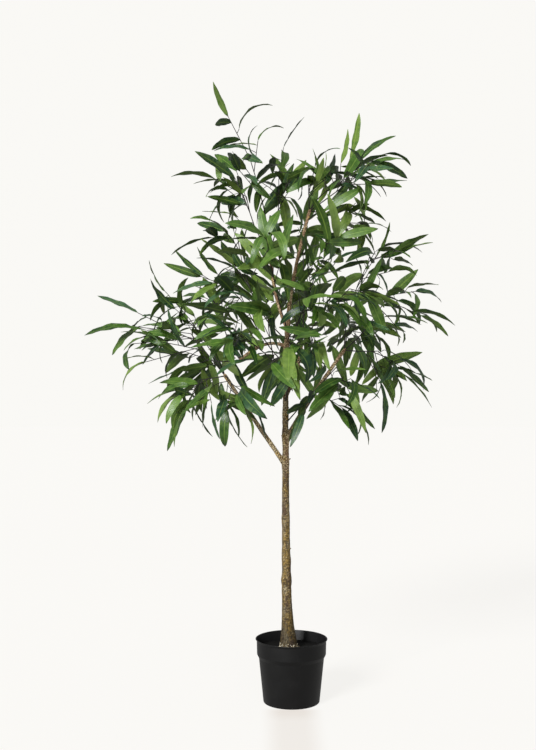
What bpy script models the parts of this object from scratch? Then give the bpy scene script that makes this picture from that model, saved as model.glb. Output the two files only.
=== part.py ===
"""Artificial eucalyptus tree in a nursery pot.

Metres, +Z up. The origin is the centre of the pot's flat underside and -Y is the front.
The trunk and boughs are tapering limbs. Each spray is one branch as such trees are
assembled from: a stem that plugs on to a limb, twigs that fan out from the stem's end by
a seeded rule, and lance-shaped leaves fused on to the twigs.
"""
import math
import random
from collections import namedtuple

import bmesh
import bpy
import numpy as np
from mathutils import Matrix, Vector

UP = Vector((0, 0, 1))
GOLDEN = math.radians(137.5)
GAP = 0.0003                # what touching solids keep between them
SPARE = 1e-6                # closer points of a turned piece are one
TRIANGLE = (0.87, 0.5, 1.0)     # a three-sided section: half its width, its rise and its keel

# ---- pot and filling ----
POT_HEIGHT = 0.153
RIM_RADIUS = 0.0872
BAND_FOOT_RADIUS = 0.0836   # the wide band below the rim, at its lower edge
BAND_HEIGHT = 0.037
STEP_HEIGHT = 0.009         # the slope from the band in to the body
BODY_HEIGHT = POT_HEIGHT - BAND_HEIGHT - STEP_HEIGHT
BODY_RADIUS = 0.0790        # the body just below the step
BASE_RADIUS = 0.0682
POT_WALL = 0.0022
LIP_WIDTH = 0.0022          # how far the lip stands out from the band
LIP_HEIGHT = 0.0035
BASE_EDGE = 0.0015          # rounding under the body
FILL_TOP = 0.130
ROUND_SIDES = 40
POT_COLOUR = (0.016, 0.016, 0.016)
FILLING_COLOUR = (0.010, 0.010, 0.009)

# ---- limbs ----
TRUNK_TOP = 0.940           # the fork of the two leaders
TRUNK_RADIUS = 0.0106       # at TRUNK_KNEE, above the root flare
TRUNK_KNEE = 0.25
TRUNK_TAPER = 0.0078        # radius lost for each metre of height
FLARE = 0.0112              # radius that the root flare adds at the filling
FLARE_FADE = 0.055
TRUNK_LINE = -0.0145        # where the trunk stands, left of the pot's middle
FOOT_SHIFT = 0.0085         # the flare lies on the right of the trunk's line
FOOT_FADE = 0.13
FORK_SHIFT = 0.0075         # the drift back to the right below the fork
FORK_BEND = 0.82
FORK_FADE = 0.13
SWAY = 0.002                # the trunk's slight wave to the front and back
SWAY_PITCH = 9              # radians of that wave for each metre of height
TRUNK_RINGS = 15
RING_CLOSING = 1.5          # the rings lie closer towards the flare
TRUNK_SIDES = 12
LIMB_PARTS = 5
LIMB_SIDES = 8
DOME = ((0.5, 0.87), (0.87, 0.5))   # rings of a limb's round tip: height and radius shares
BARK = (0.16, 0.11, 0.055)
DARK_BARK = (0.13, 0.085, 0.045)

Bough = namedtuple("Bough", "fork pull tip wide fine")
BOUGHS = {
    "left_bough": Bough(0.574, (-0.086, -0.020, 0.676), (-0.159, -0.045, 0.790), 0.0060, 0.0042),
    "right_bough": Bough(0.635, (0.028, 0.005, 0.711), (0.130, 0.030, 0.853), 0.0060, 0.0042),
    "drooping_bough": Bough(0.860, (-0.060, 0.060, 0.890), (-0.127, 0.100, 0.830), 0.0042, 0.0036),
    "back_bough": Bough(0.740, (0.020, 0.080, 0.800), (0.030, 0.150, 0.870), 0.0048, 0.0038),
    "right_leader": Bough(0.930, (0.000, -0.010, 1.030), (0.043, -0.025, 1.186), 0.0046, 0.0038),
    "left_leader": Bough(0.905, (-0.045, 0.020, 0.975), (-0.052, 0.035, 1.096), 0.0042, 0.0036),
}

# ---- sprays ----
STEM_RADIUS = 0.0016
STEM_PARTS = 4
STEM_LEAST_ANGLE = math.radians(56)     # between two stems on one tip
STEM_WIDEST_ANGLE = math.radians(84)    # between a stem and the limb that it goes on from
SOCKET_PITCH = math.radians(38)         # a stem's slope where it leaves the trunk
STEM_PULL = 0.45                        # share of its length that a stem takes to turn to its hub
PART_STEPS = 60
PART_PUSH = 0.05
AHEAD_PUSH = 0.06
TWIG_RADIUS = 0.0010
TWIG_SHARES = (0.0, 0.5, 1.0)
TWIG_RADII = (0.0006, 0.0010, 0.0007)   # the first is inside the stem
STEM_BARE = 0.5                         # share of the stem that carries twigs
TWIG_LENGTH = (0.06, 0.20)
TWIG_SHORTER = (0.6, 1.0)               # shares of the spray's reach
TWIG_LEAN = (0.45, 1.25)                # shares of the spray's spread
TWIG_DROOP = (0.0, 0.20)                # fall at the tip for each metre of length
FIRST_TWIG_LEAN = 6                     # degrees
FIRST_LEAF_ROOM = 0.10                  # what the first twig leaves for the leaf at its end
LEAF_ROOM = 0.08
TWIG_TURN = 0.9                         # radians from one try to the next
LEAF_LENGTH = (0.082, 0.130)
LEAF_SLIM = (0.175, 0.255)               # width for each metre of length
LEAF_SKEW = 0.82                        # under 1, a leaf is widest below its middle
LEAF_FALL = (-0.12, 0.32)               # how far its direction sinks
LEAF_OUTWARD = (0.0, 2.2)               # how far its face turns out from the trunk, for 1 up
LEAF_ROLL = 0.6                         # radians to each side
LEAF_JITTER = 0.4                       # radians to each side
LEAF_TURN = 1.3                         # radians from one try to the next
FLAT_SHARE = 0.55                        # share of the leaves that bend little
FLAT_BEND = (5, 45)                     # degrees from root to tip
ARCHED_BEND = (45, 110)
LEAF_THICK = 0.0012
LEAF_ROOT = 0.0004                      # radius of the leaf's foot inside the twig
BUD_LENGTH = 0.004
LEAF_PARTS = 2
LEAF_TRIES = 8
TWIG_TRIES = 6
SIDE_LEAVES_AT = (0.45, 0.85)           # places along a twig; one more leaf ends it
FIRST_END_LEAN = (0, 12)                # degrees off the twig that runs to the spray's tip
END_LEAN = (2, 35)
SIDE_LEAN = (45, 90)
END_RISE = (0.8, 1.0)                   # share of its upward or downward run that a leaf keeps
SIDE_RISE = (0.2, 0.9)
SPACE_MARGIN = 0.001
WOOD_MARGIN = 0.002
LOWEST_LEAF = 0.595
CROWDING = 0.6                          # share of their widths that neighbours keep apart
CROWD_MARGIN = 0.001
TESTS = 4                               # points tested in each part of a twig or leaf
LEAF_TESTS_LEFT = 2                     # points by its root that a leaf may share with its twig
GREENS = ((0.045, 0.10, 0.030), (0.030, 0.075, 0.032), (0.075, 0.135, 0.040))

Spray = namedtuple("Spray", "name limb socket hub tip twigs spread seed")
SPRAYS = [
    Spray("far_left", "left_bough", None, (-0.24, -0.06, 0.89), (-0.48, -0.09, 0.92), 5, 32, 763),
    Spray("left_arch", "left_bough", None, (-0.25, 0.04, 0.93), (-0.38, 0.06, 1.07), 5, 45, 179),
    Spray("low_left", "left_bough", None, (-0.22, -0.06, 0.78), (-0.28, -0.10, 0.65), 4, 42, 587),
    Spray("low_left_front", "left_bough", None, (-0.14, -0.15, 0.77), (-0.16, -0.20, 0.65), 4, 55, 717),
    Spray("left_side", "drooping_bough", None, (-0.21, 0.12, 0.83), (-0.35, 0.16, 0.78), 5, 50, 217),
    Spray("back_left", "drooping_bough", None, (-0.16, 0.24, 0.91), (-0.24, 0.36, 0.94), 5, 65, 170),
    Spray("upper_far_left", "drooping_bough", None, (-0.17, 0.10, 1.02), (-0.30, 0.12, 1.08), 5, 50, 244),
    Spray("front_left", "trunk", 0.790, (-0.12, -0.17, 0.88), (-0.15, -0.34, 0.86), 6, 65, 190),
    Spray("mid_left", "trunk", 0.820, (-0.13, -0.08, 1.00), (-0.25, -0.14, 1.01), 5, 60, 17),
    Spray("upper_left", "trunk", 0.880, (-0.13, -0.02, 1.12), (-0.27, -0.02, 1.14), 5, 45, 277),
    Spray("side_left", "left_leader", None, (-0.11, 0.03, 1.23), (-0.27, 0.05, 1.33), 6, 50, 77),
    Spray("top_left", "left_leader", None, (-0.10, -0.03, 1.31), (-0.19, -0.06, 1.50), 4, 30, 349),
    Spray("top_centre", "left_leader", None, (-0.03, 0.08, 1.28), (0.00, 0.10, 1.46), 5, 50, 253),
    Spray("top_middle", "right_leader", None, (0.04, -0.04, 1.23), (0.07, -0.06, 1.32), 5, 60, 148),
    Spray("top_right", "right_leader", None, (0.13, 0.05, 1.27), (0.17, 0.06, 1.42), 5, 35, 691),
    Spray("far_top_right", "right_leader", None, (0.15, -0.06, 1.26), (0.25, -0.10, 1.36), 5, 42, 629),
    Spray("upper_right", "right_leader", None, (0.14, 0.06, 1.17), (0.24, 0.12, 1.18), 5, 60, 83),
    Spray("side_right", "right_bough", None, (0.19, 0.02, 1.07), (0.35, 0.02, 1.14), 5, 40, 27),
    Spray("far_right", "right_bough", None, (0.24, 0.06, 0.99), (0.41, 0.10, 1.01), 5, 45, 244),
    Spray("low_right", "right_bough", None, (0.21, 0.00, 0.85), (0.33, 0.00, 0.73), 5, 50, 262),
    Spray("back_right", "right_bough", None, (0.16, 0.20, 0.92), (0.24, 0.34, 0.92), 6, 65, 210),
    Spray("front_low_right", "trunk", 0.680, (0.10, -0.14, 0.81), (0.17, -0.20, 0.67), 5, 50, 52),
    Spray("front_low", "trunk", 0.730, (-0.00, -0.20, 0.87), (-0.02, -0.36, 0.84), 6, 70, 303),
    Spray("front_middle", "trunk", 0.830, (0.03, -0.20, 0.96), (0.01, -0.38, 0.95), 6, 75, 189),
    Spray("front_right", "trunk", 0.845, (0.13, -0.14, 0.99), (0.21, -0.26, 0.96), 6, 60, 28),
    Spray("front_upper", "trunk", 0.905, (-0.06, -0.16, 1.10), (-0.08, -0.32, 1.10), 6, 75, 258),
    Spray("front_upper_right", "trunk", 0.880, (0.07, -0.13, 1.10), (0.10, -0.28, 1.08), 5, 75, 108),
    Spray("inner_left", "trunk", 0.760, (-0.06, -0.09, 0.95), (-0.09, -0.22, 0.93), 5, 85, 30),
    Spray("inner_right", "trunk", 0.790, (0.07, 0.06, 0.92), (0.14, 0.12, 0.96), 5, 85, 489),
    Spray("back_low", "back_bough", None, (-0.01, 0.22, 0.86), (-0.02, 0.36, 0.80), 6, 65, 87),
    Spray("back_middle", "back_bough", None, (0.00, 0.26, 1.02), (0.00, 0.40, 1.04), 6, 70, 240),
    Spray("back_upper", "back_bough", None, (0.03, 0.18, 1.16), (0.05, 0.32, 1.21), 6, 70, 207),
]

Limb = namedtuple("Limb", "points radii")
Leaf = namedtuple("Leaf", "root way face length width bend")
Twig = namedtuple("Twig", "points end_leaf leaves")


# ======== the limbs' lines ========

def trunk_centre(z):
    """The trunk's line leans left from its foot and drifts back right below the fork."""
    foot = math.exp((FILL_TOP - z) / FOOT_FADE)
    top = max(0.0, (z - FORK_BEND) / FORK_FADE)
    return Vector((TRUNK_LINE + FOOT_SHIFT * foot + FORK_SHIFT * top, SWAY * math.sin(SWAY_PITCH * z), z))


def trunk_radius(z):
    flare = FLARE * math.exp((FILL_TOP - z) / FLARE_FADE)
    return TRUNK_RADIUS - (z - TRUNK_KNEE) * TRUNK_TAPER + flare


def bezier(a, b, c, count):
    shares = [i / count for i in range(count + 1)]
    return [a.lerp(b, t).lerp(b.lerp(c, t), t) for t in shares]


def limb_lines():
    """The trunk from its cut to the fork, with closer rings in the flare, and the boughs."""
    base = FILL_TOP + GAP
    shares = [(i / TRUNK_RINGS) ** RING_CLOSING for i in range(TRUNK_RINGS + 1)]
    heights = [base + (TRUNK_TOP - base) * share for share in shares]
    limbs = {"trunk": Limb([trunk_centre(z) for z in heights], [trunk_radius(z) for z in heights])}
    for name, bough in BOUGHS.items():
        points = bezier(trunk_centre(bough.fork), Vector(bough.pull), Vector(bough.tip), LIMB_PARTS)
        shares = [i / LIMB_PARTS for i in range(LIMB_PARTS + 1)]
        limbs[name] = Limb(points, [bough.wide + (bough.fine - bough.wide) * t for t in shares])
    return limbs


# ======== where each spray may grow ========

def part_ways(ways, along):
    """Turns the stems that leave one tip away from each other, and keeps them ahead of it."""
    for step in range(PART_STEPS):
        for i, way in enumerate(ways):
            for j in range(i):
                if way.angle(ways[j]) < STEM_LEAST_ANGLE:
                    push = (way - ways[j]).normalized() * PART_PUSH
                    way, ways[j] = (way + push).normalized(), (ways[j] - push).normalized()
            if way.angle(along) > STEM_WIDEST_ANGLE:
                way = (way + along * AHEAD_PUSH).normalized()
            ways[i] = way
    return ways


def trunk_at(trunk, height):
    """The centre and the radius of the trunk's solid at a height, between two of its rings."""
    heights = [point.z for point in trunk.points]
    centre = [np.interp(height, heights, [point[k] for point in trunk.points]) for k in range(3)]
    return Vector(centre), float(np.interp(height, heights, trunk.radii))


def stem_lines(sprays, limbs):
    """Each spray's stem, from just clear of its bough's round tip, or of the trunk, to its hub."""
    starts = {}
    for limb in BOUGHS:
        fan = [spray for spray in sprays if spray.limb == limb]
        tip, before = limbs[limb].points[-1], limbs[limb].points[-2]
        ways = part_ways([(spray.hub - tip).normalized() for spray in fan], (tip - before).normalized())
        for spray, way in zip(fan, ways):
            starts[spray.name] = (tip + way * (limbs[limb].radii[-1] + GAP), way)
    for spray in [spray for spray in sprays if spray.limb == "trunk"]:
        centre, radius = trunk_at(limbs["trunk"], spray.socket)
        flat = ((spray.hub - centre) * Vector((1, 1, 0))).normalized()
        way = flat * math.cos(SOCKET_PITCH) + UP * math.sin(SOCKET_PITCH)
        starts[spray.name] = (centre + flat * (radius + GAP), way)
    stems = {}
    for spray in sprays:
        start, way = starts[spray.name]
        pull = start + way * (spray.hub - start).length * STEM_PULL
        stems[spray.name] = bezier(start, pull, spray.hub, STEM_PARTS)
    return stems


def straight_runs(lines):
    """The straight runs of some lines of points: where each starts, its span and its radius."""
    starts = [a for points, radii in lines for a in points[:-1]]
    spans = [b - a for points, radii in lines for a, b in zip(points, points[1:])]
    radii = [r for points, radii in lines for r in radii[:-1]]
    return np.array(starts), np.array(spans), np.array(radii)


def clearance(points, lines):
    """How far each point lies from the nearest surface of the runs."""
    starts, spans, radii = lines
    apart = points[:, None] - starts[None]
    along = np.einsum("prk,rk->pr", apart, spans) / np.einsum("rk,rk->r", spans, spans)
    foot = starts[None] + np.clip(along, 0, 1)[..., None] * spans[None]
    return (np.linalg.norm(points[:, None] - foot, axis=2) - radii[None]).min(axis=1)


class Space:
    """The room of one spray: nearer to its own stem and axis than to any other's, and off the limbs."""

    def __init__(self, name, axes, limbs):
        bare = {key: (line, [0.0] * len(line)) for key, line in axes.items()}
        self.own = straight_runs([bare.pop(name)])
        self.others = straight_runs(list(bare.values()))
        self.wood = straight_runs([(limb.points, limb.radii) for limb in limbs.values()])
        self.taken = np.empty((0, 4))

    def holds(self, points, reach):
        """Whether points with that much round them stay in the room and off what grows there."""
        apart = np.maximum(2 * reach, reach + STEM_RADIUS) + SPACE_MARGIN
        if (clearance(points, self.own) + apart >= clearance(points, self.others)).any():
            return False
        if (clearance(points, self.wood) <= reach + WOOD_MARGIN).any():
            return False
        near = np.linalg.norm(points[:, None] - self.taken[None, :, :3], axis=2)
        return bool((near > CROWDING * (reach[:, None] + self.taken[None, :, 3]) + CROWD_MARGIN).all())

    def take(self, points, reach):
        self.taken = np.vstack([self.taken, np.column_stack([points, reach])])


# ======== the growth rule ========

def cone_way(axis, polar, turn):
    """A direction at an angle from the axis, turned round it."""
    side = axis.orthogonal().normalized()
    ring = side * math.cos(turn) + axis.cross(side) * math.sin(turn)
    return (axis * math.cos(polar) + ring * math.sin(polar)).normalized()


def leaf_line(leaf, count):
    """The midrib: an arc that falls away from the leaf's upper face."""
    points = [leaf.root]
    for i in range(count):
        angle = leaf.bend * (i + 0.5) / count
        way = leaf.way * math.cos(angle) - leaf.face * math.sin(angle)
        points.append(points[-1] + way * leaf.length / count)
    return points


def half_width(share):
    """Lance-shaped, widest below the middle: 0 at both ends and 1 at its widest."""
    return math.sin(math.pi * min(share, 1) ** LEAF_SKEW)


def closer(points, count):
    """The points of a line, its first left out, with others between them."""
    between = [a.lerp(b, i / count) for a, b in zip(points, points[1:]) for i in range(count)]
    return between[1:] + points[-1:]


def fits(space, line, reach, least=0):
    """Takes the room along a line if it is free, leaving out the points next to its root."""
    points, reach = np.array(line[least:]), np.array(reach[least:])
    if points[:, 2].min() < LOWEST_LEAF or not space.holds(points, reach):
        return False
    space.take(points, reach)
    return True


def fits_leaf(space, leaf):
    line = closer(leaf_line(leaf, LEAF_PARTS), TESTS)
    reach = [leaf.width / 2 * half_width((i + 1) / len(line)) for i in range(len(line))]
    return fits(space, line, reach, LEAF_TESTS_LEFT)


def fits_twig(space, points):
    line = closer(points, TESTS)
    return fits(space, line, [TWIG_RADIUS] * len(line), 1)


def grow_leaf(draw, space, root, along, turn, lean, rise):
    """A leaf that leans off the twig, re-aimed while it leaves the space, or none."""
    for attempt in range(LEAF_TRIES):
        polar = math.radians(draw.uniform(*lean))
        jitter = draw.uniform(-LEAF_JITTER, LEAF_JITTER)
        way = cone_way(along, polar, turn + attempt * LEAF_TURN + jitter)
        way.z *= draw.uniform(*rise)
        way = (way - UP * draw.uniform(*LEAF_FALL)).normalized()
        outward = Vector((root.x, root.y, 0)).normalized()
        side = way.cross(UP + outward * draw.uniform(*LEAF_OUTWARD)).normalized()
        face = Matrix.Rotation(draw.uniform(-LEAF_ROLL, LEAF_ROLL), 3, way) @ side.cross(way)
        length = draw.uniform(*LEAF_LENGTH)
        width = length * draw.uniform(*LEAF_SLIM)
        bend = draw.uniform(*(FLAT_BEND if draw.random() < FLAT_SHARE else ARCHED_BEND))
        leaf = Leaf(root, way, face.normalized(), length, width, math.radians(bend))
        if fits_leaf(space, leaf):
            return leaf
    return None


def along_twig(points, share):
    """The place at a share of a twig, and the twig's direction there."""
    at = share * (len(points) - 1)
    i = min(int(at), len(points) - 2)
    return points[i].lerp(points[i + 1], at - i), (points[i + 1] - points[i]).normalized()


def grow_leaves(draw, space, points, end_lean):
    """The leaf that ends a twig, or none, and the leaves beside it."""
    turn = draw.uniform(0, 2 * math.pi)
    root, along = along_twig(points, 1.0)
    end_leaf = grow_leaf(draw, space, root, along, turn, end_lean, END_RISE)
    leaves = []
    for share in SIDE_LEAVES_AT:
        turn += GOLDEN
        root, along = along_twig(points, share)
        leaves.append(grow_leaf(draw, space, root, along, turn, SIDE_LEAN, SIDE_RISE))
    return end_leaf, [leaf for leaf in leaves if leaf]


def grow_twigs(spray, stem, space):
    """The first twig runs out to the spray's tip, and the rest fan round it at the golden angle."""
    draw = random.Random(spray.seed)
    axis = spray.tip - spray.hub
    reach = axis.length
    axis.normalize()
    twigs = []
    turn = draw.uniform(0, 2 * math.pi)
    for number in range(spray.twigs):
        for attempt in range(TWIG_TRIES):
            if number == 0:
                polar = math.radians(draw.uniform(0, FIRST_TWIG_LEAN))
                length = max(TWIG_LENGTH[0], reach - FIRST_LEAF_ROOM)
                droop = 0.0
            else:
                polar = spray.spread * draw.uniform(*TWIG_LEAN)
                length = (reach - LEAF_ROOM) * draw.uniform(*TWIG_SHORTER)
                length = min(max(length, TWIG_LENGTH[0]), TWIG_LENGTH[1])
                droop = draw.uniform(*TWIG_DROOP)
            way = cone_way(axis, polar, turn + number * GOLDEN + attempt * TWIG_TURN)
            origin = along_twig(stem, 1 - STEM_BARE * number / spray.twigs)[0]
            points = [origin + way * length * s - UP * length * droop * s * s for s in TWIG_SHARES]
            if fits_twig(space, points):
                end_lean = END_LEAN if number else FIRST_END_LEAN
                twigs.append(Twig(points, *grow_leaves(draw, space, points, end_lean)))
                break
    return twigs


# ======== solids ========

def mesh_object(name, vertices, faces):
    mesh = bpy.data.meshes.new(name)
    mesh.from_pydata(vertices, [], faces)
    piece = bpy.data.objects.new(name, mesh)
    bpy.context.scene.collection.objects.link(piece)
    return piece


def give_finish(piece, colour, roughness):
    finish = bpy.data.materials.new(piece.name + "_finish")
    finish.use_nodes = True
    shader = finish.node_tree.nodes["Principled BSDF"]
    shader.inputs["Base Color"].default_value = (*colour, 1)
    shader.inputs["Roughness"].default_value = roughness
    shader.inputs["Metallic"].default_value = 0.0
    piece.data.materials.clear()
    piece.data.materials.append(finish)


def tube(points, radii, sides, domed=False):
    """Vertices and faces of a closed tapering tube: a flat level foot, and a round far end if domed."""
    points, radii = list(points), list(radii)
    if domed:
        way = (points[-1] - points[-2]).normalized()
        tip, radius = points[-1], radii[-1]
        points += [tip + way * radius * height for height, share in DOME]
        radii += [radius * share for height, share in DOME]
        apex = tip + way * radius
    ways = [(b - a).normalized() for a, b in zip(points, points[1:])]
    ways = [UP] + [(a + b).normalized() for a, b in zip(ways, ways[1:])] + ways[-1:]
    side = UP.orthogonal().normalized()
    vertices, faces = [], []
    for i, (point, way, radius) in enumerate(zip(points, ways, radii)):
        side = (side - way * side.dot(way)).normalized()
        other = way.cross(side)
        for k in range(sides):
            turn = 2 * math.pi * k / sides
            vertices.append(point + (side * math.cos(turn) + other * math.sin(turn)) * radius)
    for i in range(len(points) - 1):
        for k in range(sides):
            a, b = i * sides + k, i * sides + (k + 1) % sides
            faces.append((a, b, b + sides, a + sides))
    last = (len(points) - 1) * sides
    faces.append(tuple(reversed(range(sides))))
    if domed:
        vertices.append(apex)
        faces += [(last + k, last + (k + 1) % sides, len(vertices) - 1) for k in range(sides)]
    else:
        faces.append(tuple(range(last, last + sides)))
    return vertices, faces


def shoot(points, radii, leaf, foot=None):
    """Vertices and faces of a three-sided twig that runs on into the leaf at its end, or into a bud.

    Every section is a triangle of two upper edges and a keel, as the leaf's are, so that one
    skin covers both. A leaf alone is a shoot of one thin section inside its twig. The first
    section is cut square to the foot's direction, where that is given.
    """
    if leaf:
        line = leaf_line(leaf, LEAF_PARTS)
        side = leaf.way.cross(leaf.face).normalized()
    else:
        line = [points[-1], points[-1] + (points[-1] - points[-2]).normalized() * BUD_LENGTH]
        side = (line[1] - line[0]).orthogonal().normalized()
    line = points[:-1] + line
    sections = []
    for i in reversed(range(len(line) - 1)):
        way = foot if foot and i == 0 else (line[i + 1] - line[max(i - 1, 0)]).normalized()
        side = (side - way * side.dot(way)).normalized()
        face = side.cross(way)
        if i < len(points):
            half, rise, drop = (radii[i] * share for share in TRIANGLE)
        else:
            half = leaf.width / 2 * half_width((i - len(points) + 1) / LEAF_PARTS)
            rise = drop = LEAF_THICK / 2
        sections.append((line[i] + side * half + face * rise, line[i] - side * half + face * rise,
                         line[i] - face * drop))
    vertices = [corner for section in reversed(sections) for corner in section] + [line[-1]]
    faces = [(0, 1, 2)]
    for start in range(0, 3 * (len(sections) - 1), 3):
        for k in range(3):
            a, b = start + k, start + (k + 1) % 3
            faces.append((a, a + 3, b + 3, b))
    last = 3 * (len(sections) - 1)
    faces += [(last + k, len(vertices) - 1, last + (k + 1) % 3) for k in range(3)]
    return vertices, faces


def bake(piece):
    """Puts what the modifiers make into the object's own mesh."""
    depsgraph = bpy.context.evaluated_depsgraph_get()
    made = bpy.data.meshes.new_from_object(piece.evaluated_get(depsgraph))
    piece.modifiers.clear()
    piece.data = made


def keep_main_body(piece):
    """Drops loose scraps and the walls of sealed hollows: only the largest shell is kept."""
    mesh = bmesh.new()
    mesh.from_mesh(piece.data)
    left = set(mesh.faces)
    shells = []
    while left:
        shell, front = set(), [left.pop()]
        while front:
            face = front.pop()
            shell.add(face)
            near = {other for edge in face.edges for other in edge.link_faces if other in left}
            left -= near
            front += near
        shells.append(shell)
    shells.sort(key=lambda shell: -sum(face.calc_area() for face in shell))
    loose = [face for shell in shells[1:] for face in shell]
    bmesh.ops.delete(mesh, geom=loose, context="FACES")
    mesh.to_mesh(piece.data)
    mesh.free()


def shade_round(data, sharp_degrees):
    data.shade_smooth()
    data.set_sharp_from_angle(angle=math.radians(sharp_degrees))


def round_piece(name, profile):
    """A turned solid: the profile of radius and height pairs runs from the axis round to the axis."""
    mesh = bmesh.new()
    line = [mesh.verts.new((radius, 0, height)) for radius, height in profile]
    edges = [mesh.edges.new(pair) for pair in zip(line, line[1:])]
    bmesh.ops.spin(mesh, geom=line + edges, axis=(0, 0, 1), cent=(0, 0, 0), steps=ROUND_SIDES,
                   angle=2 * math.pi, use_merge=True)
    bmesh.ops.remove_doubles(mesh, verts=mesh.verts, dist=SPARE)
    bmesh.ops.recalc_face_normals(mesh, faces=mesh.faces)
    data = bpy.data.meshes.new(name)
    mesh.to_mesh(data)
    mesh.free()
    shade_round(data, 30)
    piece = bpy.data.objects.new(name, data)
    bpy.context.scene.collection.objects.link(piece)
    return piece


def inner_radius(height):
    """The pot's inside: the wall follows the outside, about as thick all the way up."""
    if height < BODY_HEIGHT:
        return BASE_RADIUS + (BODY_RADIUS - BASE_RADIUS) * height / BODY_HEIGHT - POT_WALL
    share = (height - BODY_HEIGHT) / (POT_HEIGHT - BODY_HEIGHT)
    return BODY_RADIUS + (RIM_RADIUS - BODY_RADIUS) * share - POT_WALL


def build_pot():
    """A tapered pot with a wide band under its lip, open at the top, on a flat underside."""
    outside = [
        (0, 0), (BASE_RADIUS - BASE_EDGE, 0), (BASE_RADIUS, BASE_EDGE), (BODY_RADIUS, BODY_HEIGHT),
        (BAND_FOOT_RADIUS, BODY_HEIGHT + STEP_HEIGHT), (RIM_RADIUS - LIP_WIDTH, POT_HEIGHT - LIP_HEIGHT),
        (RIM_RADIUS, POT_HEIGHT - LIP_HEIGHT + LIP_WIDTH), (RIM_RADIUS, POT_HEIGHT),
    ]
    levels = (POT_HEIGHT, BODY_HEIGHT, POT_WALL)
    inside = [(inner_radius(height), height) for height in levels] + [(0, POT_WALL)]
    pot = round_piece("pot", outside + inside)
    give_finish(pot, POT_COLOUR, 0.45)


def build_filling():
    """The weight cast in the pot, with a flat top below the rim."""
    foot = POT_WALL + GAP
    sides = [(inner_radius(height) - GAP, height) for height in (foot, BODY_HEIGHT, FILL_TOP)]
    filling = round_piece("filling", [(0, foot)] + sides + [(0, FILL_TOP)])
    give_finish(filling, FILLING_COLOUR, 0.95)


def cut_clear(piece, limb_name, limb, sides):
    """Cuts a limb's end to the surface of the limb that carries it, a gap clear all over."""
    wide = [radius + GAP for radius in limb.radii]
    top = limb.points[-1] + (limb.points[-1] - limb.points[-2]).normalized() * GAP
    cutter = mesh_object(limb_name + "_cutter", *tube(limb.points[:-1] + [top], wide, sides))
    cut = piece.modifiers.new("cut", "BOOLEAN")
    cut.operation = "DIFFERENCE"
    cut.object = cutter
    bake(piece)
    bpy.data.objects.remove(cutter)
    keep_main_body(piece)


def build_limbs(limbs):
    trunk = mesh_object("trunk", *tube(*limbs["trunk"], TRUNK_SIDES))
    shade_round(trunk.data, 40)
    give_finish(trunk, BARK, 0.85)
    for name in BOUGHS:
        bough = mesh_object(name, *tube(*limbs[name], LIMB_SIDES, domed=True))
        cut_clear(bough, "trunk", limbs["trunk"], TRUNK_SIDES)
        if name == "left_leader":
            cut_clear(bough, "right_leader", limbs["right_leader"], LIMB_SIDES)
        shade_round(bough.data, 50)
        give_finish(bough, DARK_BARK, 0.85)


def spray_solids(spray, stem, space, trunk):
    """The stem with the first twig and its leaf as one skin, the other twigs, and the side leaves."""
    twigs = grow_twigs(spray, stem, space)
    shares = [i / STEM_PARTS for i in range(STEM_PARTS)]
    stem_radii = [STEM_RADIUS + (TWIG_RADIUS - STEM_RADIUS) * t for t in shares]
    first = twigs[0]
    points, radii = stem[:-1] + first.points, stem_radii + [TWIG_RADIUS, *TWIG_RADII[1:]]
    foot = None
    if spray.limb == "trunk":
        foot = (stem[0] - trunk_at(trunk, spray.socket)[0]).normalized()
    solids = [shoot(points, radii, first.end_leaf, foot)]
    solids += [shoot(twig.points, TWIG_RADII, twig.end_leaf) for twig in twigs[1:]]
    leaves = [leaf for twig in twigs for leaf in twig.leaves]
    return solids + [shoot([leaf.root], [LEAF_ROOT], leaf) for leaf in leaves]


def build_spray(spray, stem, space, trunk):
    """One mass: the stem, joined by one Boolean union with its twigs and leaves."""
    solids = spray_solids(spray, stem, space, trunk)
    mass = mesh_object(spray.name, *solids[0])
    pieces = bpy.data.collections.new(spray.name + "_pieces")
    bpy.context.scene.collection.children.link(pieces)
    for solid in solids[1:]:
        piece = mesh_object(spray.name + "_piece", *solid)
        bpy.context.scene.collection.objects.unlink(piece)
        pieces.objects.link(piece)
    union = mass.modifiers.new("join", "BOOLEAN")
    union.operation = "UNION"
    union.operand_type = "COLLECTION"
    union.collection = pieces
    bake(mass)
    for piece in list(pieces.objects):
        bpy.data.objects.remove(piece)
    bpy.data.collections.remove(pieces)
    keep_main_body(mass)
    return mass


def main():
    for old in list(bpy.data.objects):
        bpy.data.objects.remove(old)
    build_pot()
    build_filling()
    limbs = limb_lines()
    build_limbs(limbs)
    sprays = [spray._replace(hub=Vector(spray.hub), tip=Vector(spray.tip), spread=math.radians(spray.spread))
              for spray in SPRAYS]
    stems = stem_lines(sprays, limbs)
    axes = {spray.name: stems[spray.name] + [spray.tip] for spray in sprays}
    for number, spray in enumerate(sprays):
        space = Space(spray.name, axes, limbs)
        mass = build_spray(spray, stems[spray.name], space, limbs["trunk"])
        give_finish(mass, GREENS[number % len(GREENS)], 0.5)


main()
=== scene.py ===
"""The looks of an artificial eucalyptus tree in a nursery pot.

Metres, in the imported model's frame: the origin is the centre of the pot's flat underside,
+Z is up and -Y is the front. The limbs, twigs and main leaves follow the rule that the
solids grow by, and finer twigs with a leaf each fill the same rooms.
"""
import math
import random
from collections import namedtuple

import bmesh
import bpy
import numpy as np
from mathutils import Matrix, Vector


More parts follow.
